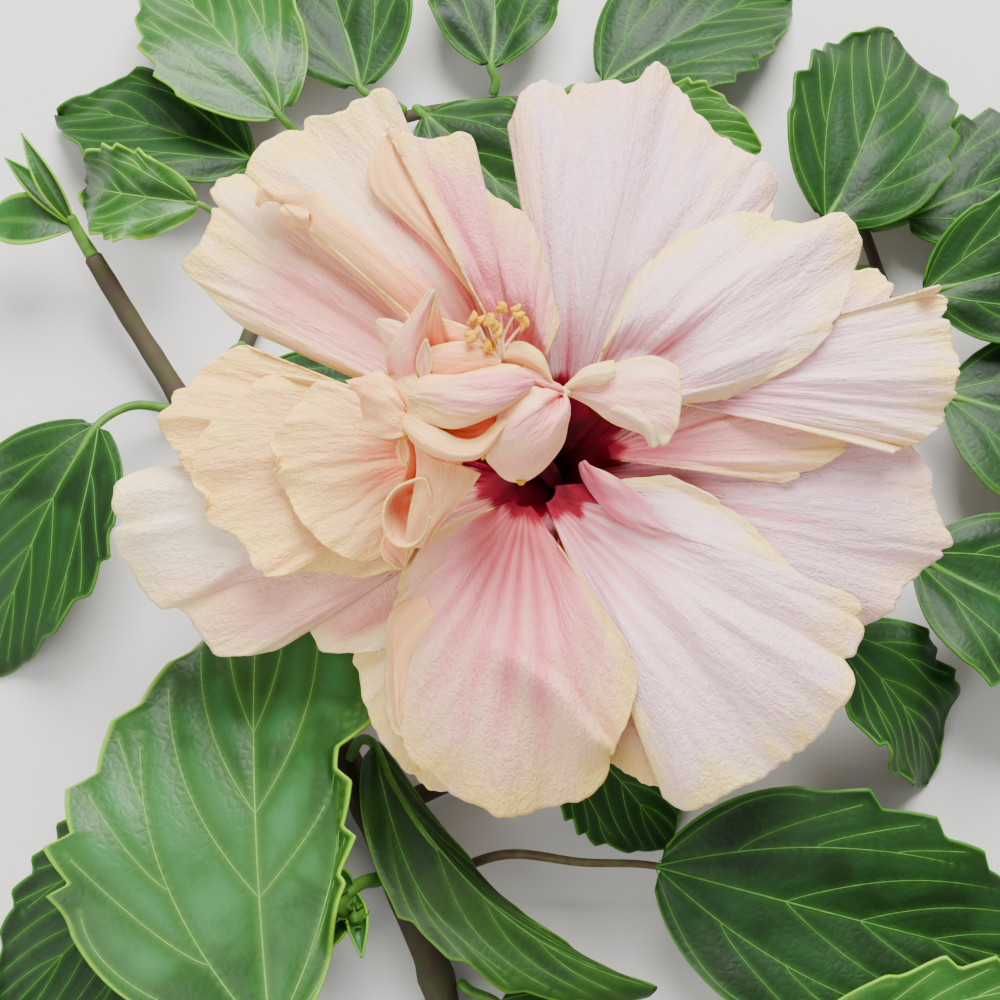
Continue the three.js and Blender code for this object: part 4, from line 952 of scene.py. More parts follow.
SKIRT = [
    [(-24.5, 5.5, 21.5), (-24, 2, 22.3), (-24.5, -2, 21.5), (-25.6, -7, 19.6), (-26.2, -11.6, 18)],
    [(-21, 3, 22.5), (-21, 0.5, 23.3), (-22.2, -3.5, 22), (-23.6, -8, 20), (-24.6, -12, 18)],
    [(-17, 2, 22), (-18, -0.8, 22.6), (-20, -5, 21.2), (-22, -9, 19.2), (-23.4, -12, 17.6)],
    [(-13.3, 0.5, 20.5), (-15, -2, 21), (-18.2, -5.8, 19.5), (-21.2, -9.3, 17.8), (-22.7, -11.6, 16.8)],
]
TRUMPET_THROAT = (-24.6, -2.2, 15.5)
TRUMPET_RIM = [(-21.6, -3.6, 22.8), (-22.6, -0.4, 23.8), (-25, -0.8, 23.6), (-27.8, -2.3, 22.6),
               (-29.6, -5, 21.4), (-29.8, -8.4, 20.2), (-28.3, -11.3, 19.2), (-25.6, -12, 18.8),
               (-23, -10, 19.2), (-21.9, -6.6, 21)]
SPIRE = [
    [(-27.7, 15.2, 20), (-29.2, 19.5, 23), (-26, 24.8, 26.5), (-21.4, 30.4, 30)],
    [(-25.4, 15, 22.5), (-25.6, 19.5, 26.5), (-23.6, 25, 29), (-21, 30.5, 30.4)],
    [(-23.2, 16, 22), (-23.2, 21.9, 25.5), (-22.4, 26.5, 28.5), (-20.8, 30.4, 30.2)],
    [(-21.8, 17, 19), (-20.4, 21.5, 21.5), (-20.2, 26, 25.5), (-20.6, 30.1, 29.6)],
]
SPIRE_BACK = [
    [(-23.4, 21, 22), (-22.7, 23, 25), (-21.6, 26, 28), (-20.6, 29.4, 30)],
    [(-20.5, 20.2, 23), (-20.7, 23, 25.5), (-20.6, 26, 28.3), (-20.5, 29.6, 30)],
    [(-17, 21, 22.5), (-18.5, 23.5, 25), (-19.7, 26.5, 28), (-20.4, 29.4, 29.8)],
]
INNER_SHEET = [
    [(-22.4, 15.5, 22), (-18, 15, 24), (-14, 16, 24.5), (-10.5, 17.5, 24)],
    [(-22, 18.5, 25), (-18, 19.2, 27), (-14, 19.6, 27), (-10, 19, 25.5)],
    [(-21.5, 21.5, 24.5), (-17.6, 22.3, 26), (-14, 22, 26), (-10.4, 19.8, 24.5)],
]
REAR_SHEET = [
    [(-21, 18, 20), (-17, 19, 22), (-11, 18.5, 22)],
    [(-21.5, 22.5, 23.5), (-16.5, 22.8, 25), (-10.5, 20.5, 24)],
    [(-20.4, 26.6, 24), (-15.5, 24.8, 25), (-9.8, 21.3, 23.5)],
]
FRINGE = [
    [(-36.2, 16.2, 20.5), (-33, 16.8, 22), (-30.6, 17.4, 23), (-28.5, 16.2, 23.5), (-27, 13.8, 23)],
    [(-34, 14, 21.5), (-32.2, 13.8, 24), (-30, 13.8, 25.5), (-28, 13, 25.5), (-26.2, 11.8, 24)],
    [(-33.3, 10, 20.5), (-31.6, 9.6, 23), (-29.8, 9.2, 24.5), (-27.8, 9, 24.5), (-25.7, 8.8, 23)],
    [(-34.8, 8.4, 20.5), (-32.3, 7.4, 22.6), (-29.3, 6.3, 23.4), (-27, 6.5, 23.4), (-25.2, 7.4, 22.4)],
]
PALE_BLADE = [
    [(-11, 17.8, 22), (-6.6, 18, 22.5), (-3.5, 16.5, 22), (-1.4, 15.3, 21)],
    [(-11, 19.6, 23.5), (-7, 20.4, 24.8), (-3.5, 18.8, 24), (-1.4, 16, 22)],
    [(-10.8, 20.6, 23), (-7, 22.5, 24), (-3.3, 20.6, 23.2), (-1.6, 16.6, 21.6)],
]
NECK_SHEET = [
    [(-6.4, 18.4, 23), (-3.6, 17.6, 22), (-1.4, 16.2, 20.8), (0.6, 15, 19.4)],
    [(-6.2, 17, 24.5), (-3.6, 16.1, 23.2), (-1.4, 15.1, 21.6), (0.7, 14.5, 19.6)],
    [(-6.6, 15, 23.5), (-3.8, 14.3, 22), (-1.6, 13.8, 20.6), (0.6, 13.9, 19.2)],
]
CREAM_FOLD = [
    [(-29.4, 18.5, 20), (-26.4, 19.4, 22), (-24, 17.8, 23.5)],
    [(-29, 15, 21.5), (-26.2, 14.6, 24.5), (-23.6, 14, 26)],
    [(-26.8, 11.2, 21.5), (-25.2, 11, 24), (-23.6, 10.6, 26)],
]
THROAT_SHEET = [
    [(-24, 12, 21), (-26.5, 8, 17), (-25.6, 3.5, 16.5), (-27.5, -2.5, 15.5), (-29.5, -7.5, 13.5),
     (-30, -11.5, 12)],
    [(-18, 11, 20), (-21, 8, 16), (-22, 4, 15), (-23.5, -1.5, 13.5), (-26, -6.5, 11.5), (-27.5, -11, 10.5)],
]
BUTTERFLY_LARGE = [
    [(0.8, 14.3, 18.6), (5, 12, 18.8), (9.3, 9, 19), (13.6, 7.5, 19), (16.6, 6.6, 18.6)],
    [(1, 14.5, 19), (6.2, 13.2, 20.4), (11, 11, 21.2), (15, 8.6, 20.8), (17.9, 5.4, 19.2)],
    [(1.1, 14.6, 19.1), (7, 14.6, 20.4), (12.2, 13.6, 21.4), (16.8, 11.4, 21.2), (19.8, 8.4, 19.6)],
    [(1.1, 14.8, 19.1), (7.4, 16.6, 20), (12.4, 17, 20.8), (17.2, 16.4, 20.6), (20.6, 13.2, 19.4)],
    [(0.9, 15, 18.9), (7, 18.2, 19), (11.6, 19.8, 19.4), (16.2, 20.4, 19.4), (20.2, 18.6, 18.6)],
]
BUTTERFLY_FOLD = [
    [(8.4, 10.9, 20), (12, 8.8, 20), (14.3, 7.2, 19.6), (15.3, 5.2, 19)],
    [(9, 11.6, 21.2), (12.6, 9.9, 21.9), (15, 8.2, 21.4), (16, 5, 19.8)],
    [(9.8, 12.3, 21), (13.5, 11, 21.3), (16, 8.8, 20.4), (16.7, 5.4, 19.2)],
]
BUTTERFLY_SMALL = [
    [(1.1, 14.8, 19.6), (4.4, 15.4, 21.4), (7.4, 15.5, 22), (9, 16.4, 22)],
    [(1.2, 15.1, 19.9), (4.6, 16.8, 22.4), (7.6, 17.2, 23), (9.3, 17.8, 22.6)],
    [(1.1, 15.4, 19.6), (4.2, 18.2, 21.4), (7.4, 19.2, 22), (9.1, 19.4, 22)],
]
KNOT_SMALL = [
    dict(base=(-22.9, 16, 24), tip=(-22.3, 22.6, 28), face=(0, -0.8, 1), width=2.8, cup=0.4, finish="cream"),
    dict(base=(-24, 21, 20), tip=(-30.8, 26.2, 22.5), face=(0, 0, 1), width=5.2, cup=-0.8, finish="cream"),
    dict(base=(-26.6, 6.5, 21), tip=(-26.2, 1.6, 20.5), face=(0, 0, 1), width=2.2, cup=0.6, finish="peach"),
    dict(base=(-29.5, -9.5, 12), tip=(-26.8, -16, 14), face=(0, 0, 1), width=5, cup=0.6, finish="peach"),
]

# Points across and along a sheet
KNOT_POINTS = (52, 46)
SMALL_POINTS = (22, 30)
BUTTERFLY_POINTS = {"large": (56, 56), "fold": (30, 40), "small": (26, 30)}

# Staminal column, which leans to the left under the knot, and the joint that holds the butterfly to the knot
COLUMN_ROUTE = [(0, 0, -21.1), (0, 0, -17), (-3, 3.5, -6), (-8, 8, 5), (-13, 9, 14), (-16, 9, 19)]
COLUMN_RADII = (1.7, 1.8, 2.0, 2.6)
NECK_ROUTE = [(-1.6, 14.6, 19.4), (0.2, 14.5, 18.9), (1.6, 14.6, 19.2)]
NECK_RADII = (1.0, 0.7, 0.9)

# Lines of a fan net: the first (share of the way to the rim, rise), and the shares where its two rises lie
FAN_START = (0.08, 0.2)
FAN_SHARES = (0.38, 0.74)
# Lines of a funnel net: where they start, and where they sag and by how much
FUNNEL_START = 0.1
FUNNEL_WAIST = 0.62
FUNNEL_SAG = 2.0

# A blade leaves out the very ends, where it has no width
BLADE_ENDS = (0.02, 0.985)
BLADE_TAPER = 0.9
LEAST_CURL = 1e-6


def fan_net(centre, rim, rises):
    """Net of lines from one point to the rim, each lifted by its two rises on the way."""
    centre = np.array(centre, float)
    net = []
    for end, (near, far) in zip(rim, rises):
        end = np.array(end, float)
        line = [centre]
        for share, rise in (FAN_START, (FAN_SHARES[0], near), (FAN_SHARES[1], far)):
            line.append(centre + (end - centre) * share + np.array([0, 0, rise]))
        net.append([*line, end])
    return net


def funnel_net(throat_point, rim):
    """Net from the throat of a rolled petaloid out to its open rim."""
    centre = np.array(throat_point, float)
    net = []
    for end in rim:
        end = np.array(end, float)
        waist = centre + (end - centre) * FUNNEL_WAIST - np.array([0, 0, FUNNEL_SAG])
        net.append([centre + (end - centre) * FUNNEL_START, waist, end])
    return net


def blade_grid(blade, across, along, fullness=0.8):
    """Petaloid, bract or young leaf from base to tip. The less its fullness, the blunter its ends."""
    base, tip = np.array(blade["base"], float), np.array(blade["tip"], float)
    length = np.linalg.norm(tip - base)
    forward = (tip - base) / length
    side = unit(np.cross(forward, np.array(blade["face"], float)))
    up = np.cross(side, forward)
    s, t = np.meshgrid(np.linspace(-1, 1, across), np.linspace(*BLADE_ENDS, along), indexing="ij")
    half = blade["width"] / 2 * np.sin(np.pi * t ** BLADE_TAPER) ** fullness
    curl = blade["cup"] or LEAST_CURL
    sideways = half * np.sin(s * curl) / curl
    raised = half * (1 - np.cos(s * curl)) / curl + blade.get("arch", 0) * np.sin(np.pi * t)
    return base + (t * length)[..., None] * forward + sideways[..., None] * side + raised[..., None] * up


# Sheets of the knot as (name, net, finish, blush, wrinkle, margin)
bulge = fan_net(BULGE_JOINT, BULGE_RIM, BULGE_RISE)
trumpet = funnel_net(TRUMPET_THROAT, TRUMPET_RIM)
knot_sheets = [
    ("throat_sheet", THROAT_SHEET, "coral", (0.9, 0.5), 0.1, 1.2),
    ("rear_sheet", REAR_SHEET, "peach", (0.7, 0.3), 0.08, 1.2),
    ("inner_sheet", INNER_SHEET, "peach", (0.45, 0.25), 0.12, 1.4),
    ("pale_blade", PALE_BLADE, "peach", (0.0, 0.0), 0.05, 2.4),
    ("spire_back", SPIRE_BACK, "peach", (0.9, 0.3), 0.05, 0.6),
    ("spire", SPIRE, "blushed", (0.6, 0.2), 0.12, 1.2),
    ("cream_fold", CREAM_FOLD, "peach", (0.0, 0.1), 0.12, 2.4),
    ("fringe", FRINGE, "peach", (0.3, 0.1), 0.14, 1.6),
    ("neck_sheet", NECK_SHEET, "blushed", (0.6, 0.9), 0.16, 0.8),
    ("bulge", bulge, "blushed", (0.75, 0.0), 0.2, 2.0),
    ("skirt", SKIRT, "peach", (0.1, 0.35), 0.06, 0.9),
    ("trumpet", trumpet, "peach", (1.0, 0.0), 0.04, 0.8),
    ("lip_inside", LIP_INSIDE, "peach", (0.1, 1.2), 0.05, 0.3),
    ("lip", LIP, "peach", (0.0, 0.1), 0.06, 2.4),
    ("hood", HOOD, "peach", (-0.1, 0.3), 0.16, 2.4),
    ("hood_wing", HOOD_WING, "blushed", (1.0, -0.1), 0.16, 1.6),
]
knot_parts = []
for number, (name, net, finish, blush, wrinkle, margin) in enumerate(knot_sheets):
    grid = net_grid(net, *KNOT_POINTS)
    knot_parts.append(petaloid_piece(name, grid, finish, 300 + number, wrinkle, margin, blush))
for number, blade in enumerate(KNOT_SMALL):
    knot_parts.append(petaloid_piece("small", blade_grid(blade, *SMALL_POINTS), blade["finish"], 330 + number,
                                     0.08, 1.0, (0.6, 0.1)))
knot_parts.append(tube_piece("column", from_bloom, COLUMN_ROUTE, COLUMN_RADII, 20, 40, column_finish))
finish_piece("petaloid_knot_skin", knot_parts, "petaloid", "petaloid_knot")

butterfly_parts = [
    petaloid_piece(name, net_grid(net, *BUTTERFLY_POINTS[name]), "cream", seed, wrinkle, margin, blush)
    for name, net, seed, wrinkle, margin, blush in (
        ("large", BUTTERFLY_LARGE, 350, 0.16, 2.0, (0.5, 0.25)),
        ("fold", BUTTERFLY_FOLD, 352, 0.05, 1.6, (0.2, 0.0)),
        ("small", BUTTERFLY_SMALL, 351, 0.05, 3.5, (0.0, 0.0)),
    )
]
butterfly_parts.append(tube_piece("neck", from_bloom, NECK_ROUTE, NECK_RADII, 14, 14, filament_finish))
finish_piece("petaloid_butterfly_skin", butterfly_parts, "petaloid", "petaloid_butterfly")

# Anthers
ANTHER_ROOT = (-10, 19.5, 24)
ANTHERS = [
    (-14.2, 26.3, 27), (-10, 27.3, 28.5), (-7.5, 27, 28), (-6, 25.5, 27), (-12, 25, 29.5), (-10.8, 24, 28.5),
    (-14.2, 23, 28), (-11.6, 21.3, 27),
]
LOW_ANTHERS = [(-6.5, -1, 19.5), (-26.3, 8, 22.5), (-25.9, 6.9, 22), (-12.8, 3.6, 24)]
HEADS_ON_THREAD = 3
HEAD_STRAY = 0.75
HEAD_SIZES = (0.72, 0.95)  # radius, before the head is drawn out
LOW_HEAD_SIZE = 0.7
HEAD_LONG, HEAD_ROUND = 1.25, 0.72  # a head's half length and half thickness, as shares of its size
HEAD_BEND = 0.32
HEAD_LUMPS = 0.1
THREAD_RADII = (0.3, 0.2)
THREAD_STRAY = 0.8


def pollen_blob(centre, size, turn, seed):
    """Kidney-shaped anther head, rough with pollen."""
    rng = np.random.default_rng(seed)
    bpy.ops.mesh.primitive_uv_sphere_add(segments=16, ring_count=10, radius=1)
    blob = bpy.context.object
    flat = vertex_places(blob.data)
    lumps = HEAD_LUMPS * np.sin(9 * flat[:, 0] + rng.uniform(0, 6))
    lumps = lumps * np.sin(8 * flat[:, 1] + 2) * np.cos(9 * flat[:, 2])
    flat = flat * (1 + lumps)[:, None] * (np.array([HEAD_LONG, HEAD_ROUND, HEAD_ROUND]) * size)
    flat[:, 1] += HEAD_BEND * flat[:, 0] ** 2 / size
    c, s = math.cos(turn), math.sin(turn)
    flat = flat @ np.array([[c, s, 0], [-s, c, 0], [0, 0, 1]])
    set_vertices(blob.data, from_bloom(flat + np.array(centre)))
    blob.data.materials.append(pollen_finish)
    bpy.ops.object.shade_smooth()
    return blob


anther_parts = []
scatter = np.random.default_rng(400)
for number, tip in enumerate(ANTHERS):
    tip = np.array(tip, float)
    root = np.array(ANTHER_ROOT) + scatter.uniform(-THREAD_STRAY, THREAD_STRAY, 3) * (1, 0.4, 0.3)
    middle = (root + tip) / 2 + scatter.uniform(-THREAD_STRAY, THREAD_STRAY, 3)
    route = [root, middle, tip]
    anther_parts.append(tube_piece("thread", from_bloom, route, THREAD_RADII, 8, 14, filament_finish))
    for _ in range(HEADS_ON_THREAD):
        centre = tip + scatter.uniform(-HEAD_STRAY, HEAD_STRAY, 3)
        size, turn = scatter.uniform(*HEAD_SIZES), scatter.uniform(0, 3.1)
        anther_parts.append(pollen_blob(centre, size, turn, 410 + number))
for number, centre in enumerate(LOW_ANTHERS):
    anther_parts.append(pollen_blob(centre, LOW_HEAD_SIZE, 0.6 * number, 430 + number))
finish_piece("anthers_skin", anther_parts, "anther", "anther_cluster")

# Calyx and bracts
CALYX_PROFILE = [(2.2, -34), (4.4, -31), (7.2, -25), (9.2, -18), (10.2, -13)]  # (radius, height)
CALYX_POINTS = (81, 30)
CALYX_THICKNESS = 0.6
SEPALS = 5
SEPAL_CLEFT = 0.42  # share of the cup's length by which the sepals are parted
CALYX_RIB = 0.02
CALYX_FOOT = [(0, 0, -36), (0, 0, -33), (0, 0, -29)]
CALYX_FOOT_RADII = (2.0, 2.6, 3.4)
BRACTS = 7
BRACT_FOOT = (3.2, -32.6)  # (radius, height)
BRACT_TIP = (9.5, -26.5)
BRACT_THICKNESS = 0.4


def calyx_cup():
    """Cup of five joined sepals, each ending in a point."""
    across, along = CALYX_POINTS
    profile = smooth_route(CALYX_PROFILE, along)
    turns = np.linspace(0, 2 * np.pi, across)
    lobe = np.abs(np.cos(SEPALS * turns / 2))
    reach = np.linspace(0, 1, along)
    grid = np.empty((across, along, 3))
    for i, turn in enumerate(turns):
        share = 1 - SEPAL_CLEFT + SEPAL_CLEFT * lobe[i]
        radius = np.interp(reach * share, reach, profile[:, 0])
        height = np.interp(reach * share, reach, profile[:, 1])
        ribbed = radius * (1 + CALYX_RIB * math.cos(SEPALS * 2 * turn))
        grid[i] = np.stack([ribbed * math.cos(turn), ribbed * math.sin(turn), height], axis=-1)
    return grid_piece("cup", from_bloom(grid), CALYX_THICKNESS, [calyx_finish], weld=True)


def bract_piece(number):
    """One of the narrow bracts that stand round the foot of the calyx."""
    turn = 2 * math.pi * number / BRACTS
    out = np.array([math.cos(turn), math.sin(turn), 0])
    bract = dict(base=BRACT_FOOT[0] * out + (0, 0, BRACT_FOOT[1]),
                 tip=BRACT_TIP[0] * out + (0, 0, BRACT_TIP[1]), face=-out + (0, 0, 0.6), width=2.0, cup=0.5,
                 arch=-0.8)
    return grid_piece("bract", from_bloom(blade_grid(bract, 8, 16)), BRACT_THICKNESS, [calyx_finish])


calyx_parts = [calyx_cup(), *[bract_piece(number) for number in range(BRACTS)]]
calyx_parts.append(tube_piece("foot", from_bloom, CALYX_FOOT, CALYX_FOOT_RADII, 20, 10, calyx_finish))
finish_piece("calyx_skin", calyx_parts, "calyx", "calyx")

# Leaves
LEAVES = [
    dict(name="leaf_front_large", base=(-52, -99, 24), tip=(-58, -14, 18), width=76, face=(-0.12, 0, 1),
         arch=7, fold=0.08, widest=0.38, right=(0.4, 0.42, 0.5, 0.55, 1.3, 1),
         stalk=[(-50, -108, 20), (-36, -112, 11), (-22.9, -105, 6.3)]),
    dict(name="leaf_folded", base=(-35, -43, 17), tip=(20.5, -89.8, 11), width=26, face=(0.5, 0.35, 1),
         arch=3, fold=-0.5, widest=0.45, left=(0.8, 0.5, 0.4, 0.4), bow=12,
         stalk=[(-37.5, -42.5, 14.5), (-39.6, -45.5, 10.2)]),
    dict(name="leaf_lower_right", base=(19.8, -66.6, 14), tip=(100, -86, 0.3), width=48, face=(0, -0.15, 1),
         arch=6, fold=0.12, widest=0.42, stalk=[(6, -66, 15), (-10, -64.5, 13), (-26, -71, 9.8)]),
    dict(name="leaf_corner", base=(42, -106, 20), tip=(112, -100, 12), width=40, face=(0, -0.1, 1),
         arch=5, fold=0.12, widest=0.45, stalk=[(24, -110, 21), (4, -114, 19), (-10, -114, 14.5),
                                                (-16, -112, 7.9)]),
    dict(name="leaf_right_low", base=(55, -22, 20), tip=(76, -50, 0.3), width=30, face=(0.5, 0.2, 1),
         arch=6, fold=0.2, widest=0.4, stalk=[(50, -16, 16), (47.5, -17.4, 5.9)]),
    dict(name="leaf_under_bloom", base=(2, -38, 10), tip=(24, -62, 0.3), width=28, face=(0.1, 0.1, 1),
         arch=4, fold=0.15, widest=0.42, stalk=[(-1, -36, 9), (-4, -41, 5.6)]),
    dict(name="leaf_right", base=(72, -6, 18), tip=(120, -34, 0.2), width=38, face=(0.2, 0.1, 1),
         arch=7, fold=0.15, widest=0.4, stalk=[(68, -3, 13), (65.2, 0, 6.6)]),
    dict(name="leaf_right_middle", base=(80, 28, 16), tip=(128, 12, 0.2), width=40, face=(0.15, 0, 1),
         arch=7, fold=0.15, widest=0.4, stalk=[(78, 30, 11), (75.4, 30, 6.8)]),
    dict(name="leaf_right_upper", base=(76, 47, 23), tip=(120, 62, 12), width=32, face=(0.15, -0.2, 1),
         arch=6, fold=0.2, widest=0.4, stalk=[(74, 44, 14), (73.8, 44.6, 7.7)]),
    dict(name="leaf_right_high", base=(57, 62, 23), tip=(76, 112, 10), width=38, face=(0.2, -0.1, 1),
         arch=6, fold=0.15, widest=0.4, stalk=[(60, 56, 17), (68.8, 58, 7.6)]),
    dict(name="leaf_far_right", base=(76, 69, 8.5), tip=(124, 90, 0.2), width=34, face=(0, 0.1, 1),
         arch=3, fold=0.15, widest=0.4, stalk=[(72, 68, 8), (69.7, 68, 7.2)]),
    dict(name="leaf_left_arched", base=(-72, 67, 22), tip=(-98, 75.5, 12), width=20, face=(0, -0.45, 1),
         arch=7, fold=0.3, widest=0.5, stalk=[(-66, 64, 17), (-60.2, 61.5, 5)]),
    dict(name="leaf_left_upper", base=(-63, 81, 12), tip=(-108, 96, 3), width=28, face=(0, 0.2, 1),
         arch=5, fold=0.15, widest=0.42, stalk=[(-59, 78, 9), (-56.3, 76, 5.2)]),
    dict(name="leaf_top_bright", base=(-56, 88, 19), tip=(-86, 128, 7), width=34, face=(0.2, -0.2, 1),
         arch=6, fold=0.2, widest=0.4, stalk=[(-52, 86, 13), (-47, 84.4, 6.2)]),
    dict(name="leaf_top", base=(-40, 98, 12), tip=(-52, 142, 0.2), width=34, face=(-0.1, 0.2, 1),
         arch=6, fold=0.15, widest=0.4, stalk=[(-34, 96.5, 9), (-31, 95.4, 7)]),
    dict(name="leaf_behind_gap", base=(-26, 88, 20), tip=(4, 58, 17), width=30, face=(0, 0, 1),
         arch=3, fold=0.15, widest=0.42, stalk=[(-28, 92, 15), (-26, 95, 6.8)]),
    dict(name="leaf_top_right", base=(12, 100, 10), tip=(56, 126, 0.2), width=36, face=(0, 0.2, 1),
         arch=6, fold=0.15, widest=0.4, stalk=[(6, 99.4, 9.5), (4, 98.4, 8.6)]),
    dict(name="leaf_top_young", base=(14, 90, 13), tip=(46, 84, 12), width=20, face=(0, -0.1, 1),
         arch=4, fold=0.25, widest=0.42, stalk=[(10, 91, 11), (4.5, 94.6, 8)]),
    dict(name="leaf_top_middle", base=(-12, 104, 10), tip=(-10, 146, 0.2), width=30, face=(0, 0.2, 1),
         arch=5, fold=0.15, widest=0.4, stalk=[(-11, 102, 8.6), (-11.5, 99.6, 6.8)]),
    dict(name="leaf_left_hanging", base=(-92, 22, 15), tip=(-114, -28, 0.2), width=38, face=(-0.2, 0.1, 1),
         arch=6, fold=0.2, widest=0.4, stalk=[(-86, 27, 11), (-78.6, 27.5, 6.8)]),
    dict(name="leaf_left_behind", base=(-59, 34.5, 12.6), tip=(-34, 12, 8), width=26, face=(0, 0, 1),
         arch=3, fold=0.15, widest=0.42, stalk=[(-66, 38, 11), (-64.6, 41.6, 6.4)]),
    dict(name="leaf_by_stem", base=(-11, -92, 7.4), tip=(20, -124, 0.4), width=28, face=(0, 0.1, 1),
         arch=2, fold=0.05, widest=0.4, stalk=[(-16, -90, 7.4), (-17.7, -88.6, 6.8)]),
    dict(name="leaf_left_low", base=(-66, -58, 10), tip=(-108, -96, 0.2), width=38, face=(-0.1, 0.1, 1),
         arch=5, fold=0.15, widest=0.4, stalk=[(-56, -48, 10), (-44.8, -43, 7.4)]),
]
# Leaves with the brighter finish: young ones, and those that catch the light, where it is painted light; the
# others take the darker finish, partly painted shade
BRIGHT_LEAVES = {"leaf_front_large", "leaf_corner", "leaf_left_arched", "leaf_top_bright", "leaf_top_young"}
LARGE_LEAVES = {"leaf_front_large"}
LEAF_POINTS = (64, 76)  # across the blade, and from its foot to its tip
LARGE_LEAF_POINTS = (140, 160)
LEAF_ENDS = (0.012, 0.99)  # the very ends of a blade have no width
# What differs on one leaf: teeth along a side, height of its waves, width of the bright margin, and a stretch
# of the right rim that turns up, as (start, end, height)
LEAF_OPTIONS = {
    "leaf_front_large": dict(teeth=8.5, wave=1.8, rim=1.3, lip=(0.16, 0.66, 4.5)),
    "leaf_lower_right": dict(stalk_tissue=ruddy_finish),
    "leaf_folded": dict(wave=0.8, rim=0.6, finish=leaf_fold),
}

# Outline of a blade: how blunt its foot is, and its teeth, each with its peak and depth as shares
LEAF_SHOULDER = 0.6
LEAF_TEETH = 7
TOOTH_DEPTH = 0.13
TOOTH_PEAK = 0.78
TEETH_FROM = 0.24

# Relief of a blade: how far it swells between veins and how near to one, its waves and its slower swell
QUILT_RISE = 0.3
QUILT_REACH = 2.6
LEAF_WAVE = 1.3
LEAF_SWELL = 0.7
LEAF_MARGIN = 0.75
LIP_FROM = 0.72  # share of the half width from which the rim turns up

# Veins as (start along the leaf, end along the leaf, share of the rim reached there, width): two pairs from
# the foot of the blade, the others from the midrib
VEINS = ((0.0, 0.3, 0.9, 0.5), (0.0, 0.68, 0.78, 0.85), (0.3, 0.8, 0.85, 0.5), (0.48, 0.88, 0.85, 0.4),
         (0.66, 0.94, 0.8, 0.35))
# Side branches of the long pair as (start on it, end along the leaf)
VEIN_BRANCHES = ((0.3, 0.42), (0.55, 0.56), (0.8, 0.68))
BRANCH_WIDTH = 0.35
MIDRIB_END = 0.97
MIDRIB_WIDTHS = (1.1, 0.4)
VEIN_TAPER = 0.6
VEIN_REACH = 0.93  # a raised vein ends at this share of the half width
VEIN_SIZE = 0.24  # radius of a raised vein, as a share of its width
LEAST_VEIN = 0.1
VEIN_SINK = 0.03

# Stalk, which runs on under the blade: (place along the leaf, drop below the blade's middle), and its radii
STALK_PLACES = ((0.9, 0.25), (0.6, 0.3), (0.3, 0.35), (STALK_GRIP, 0.35))
STALK_DROP = 0.2
STALK_RADII = (0.16, 0.3, 0.45, 0.7, 0.9, 1.1)


def leaf_outline(t, widest):
    """Width of the blade from foot to tip, 1 where it is widest."""
    tapering = LEAF_SHOULDER * (1 - widest) / widest
    return t ** LEAF_SHOULDER * (1 - t) ** tapering / (widest ** LEAF_SHOULDER * (1 - widest) ** tapering)


def half_width(leaf, t, way):
    """Reach of the blade from its midrib; way is 1 on its right and -1 on its left."""
    shares = leaf.get("right" if way > 0 else "left", (1, 1))
    share = np.interp(t, np.linspace(0, 1, len(shares)), shares)
    return leaf["width"] / 2 * leaf_outline(t, leaf["widest"]) * share


def climb(q):
    """How far along the leaf a vein has come at q of its way: it starts slower than it ends."""
    return 0.75 * q + 0.25 * q * q


def vein_lines(leaf, length):
    """Veins in the plane of the leaf, each as rows of (across, along, width)."""
    midrib = (np.zeros(60), np.linspace(0, MIDRIB_END * length, 60), np.linspace(*MIDRIB_WIDTHS, 60))
    lines = [np.stack(midrib, axis=-1)]
    q = np.linspace(0, 1, 30)
    for way in (-1, 1):
        for start, end, share, width in VEINS:
            x = way * share * half_width(leaf, np.array(end), way) * np.sin(q * np.pi / 2)
            y = length * (start + (end - start) * climb(q))
            lines.append(np.stack([x, y, width * (1 - VEIN_TAPER * q)], axis=-1))
        _, long_end, long_share, _ = VEINS[1]
        for start, end in VEIN_BRANCHES:
            from_x = long_share * half_width(leaf, np.array(long_end), way) * math.sin(start * math.pi / 2)
            from_y = length * long_end * climb(start)
            to_x = VEIN_REACH * half_width(leaf, np.array(end), way)
            x = way * (from_x + (to_x - from_x) * q)
            y = from_y + (length * end - from_y) * q ** 1.3
            lines.append(np.stack([x, y, BRANCH_WIDTH * (1 - VEIN_TAPER * q)], axis=-1))
    return lines


def laid_on(grid, x, places, rows):
    """Points of a blade at the given places across it, where x holds the place of each point of the grid."""
    points = []
    for place, row in zip(places, rows):
        low = int(np.clip(row, 0, grid.shape[1] - 2))
        part = row - low
        across = x[:, low] * (1 - part) + x[:, low + 1] * part
        section = grid[:, low] * (1 - part) + grid[:, low + 1] * part
        points.append([np.interp(place, across, section[:, k]) for k in range(3)])
    return np.array(points)


def toothed(s, t, teeth, seed):
    """Share by which the rim stands out or back, with teeth that lean towards the tip."""
    warped = t + 0.025 * np.sin(9 * t + seed) + 0.02 * np.sign(s)
    saw = (warped * teeth) % 1.0
    saw = np.where(saw < TOOTH_PEAK, saw / TOOTH_PEAK, (1 - saw) / (1 - TOOTH_PEAK))
    return 1 + TOOTH_DEPTH * (saw - 0.6) * smooth(np.abs(s) * 4 - 3) * smooth((t - TEETH_FROM) * 8)


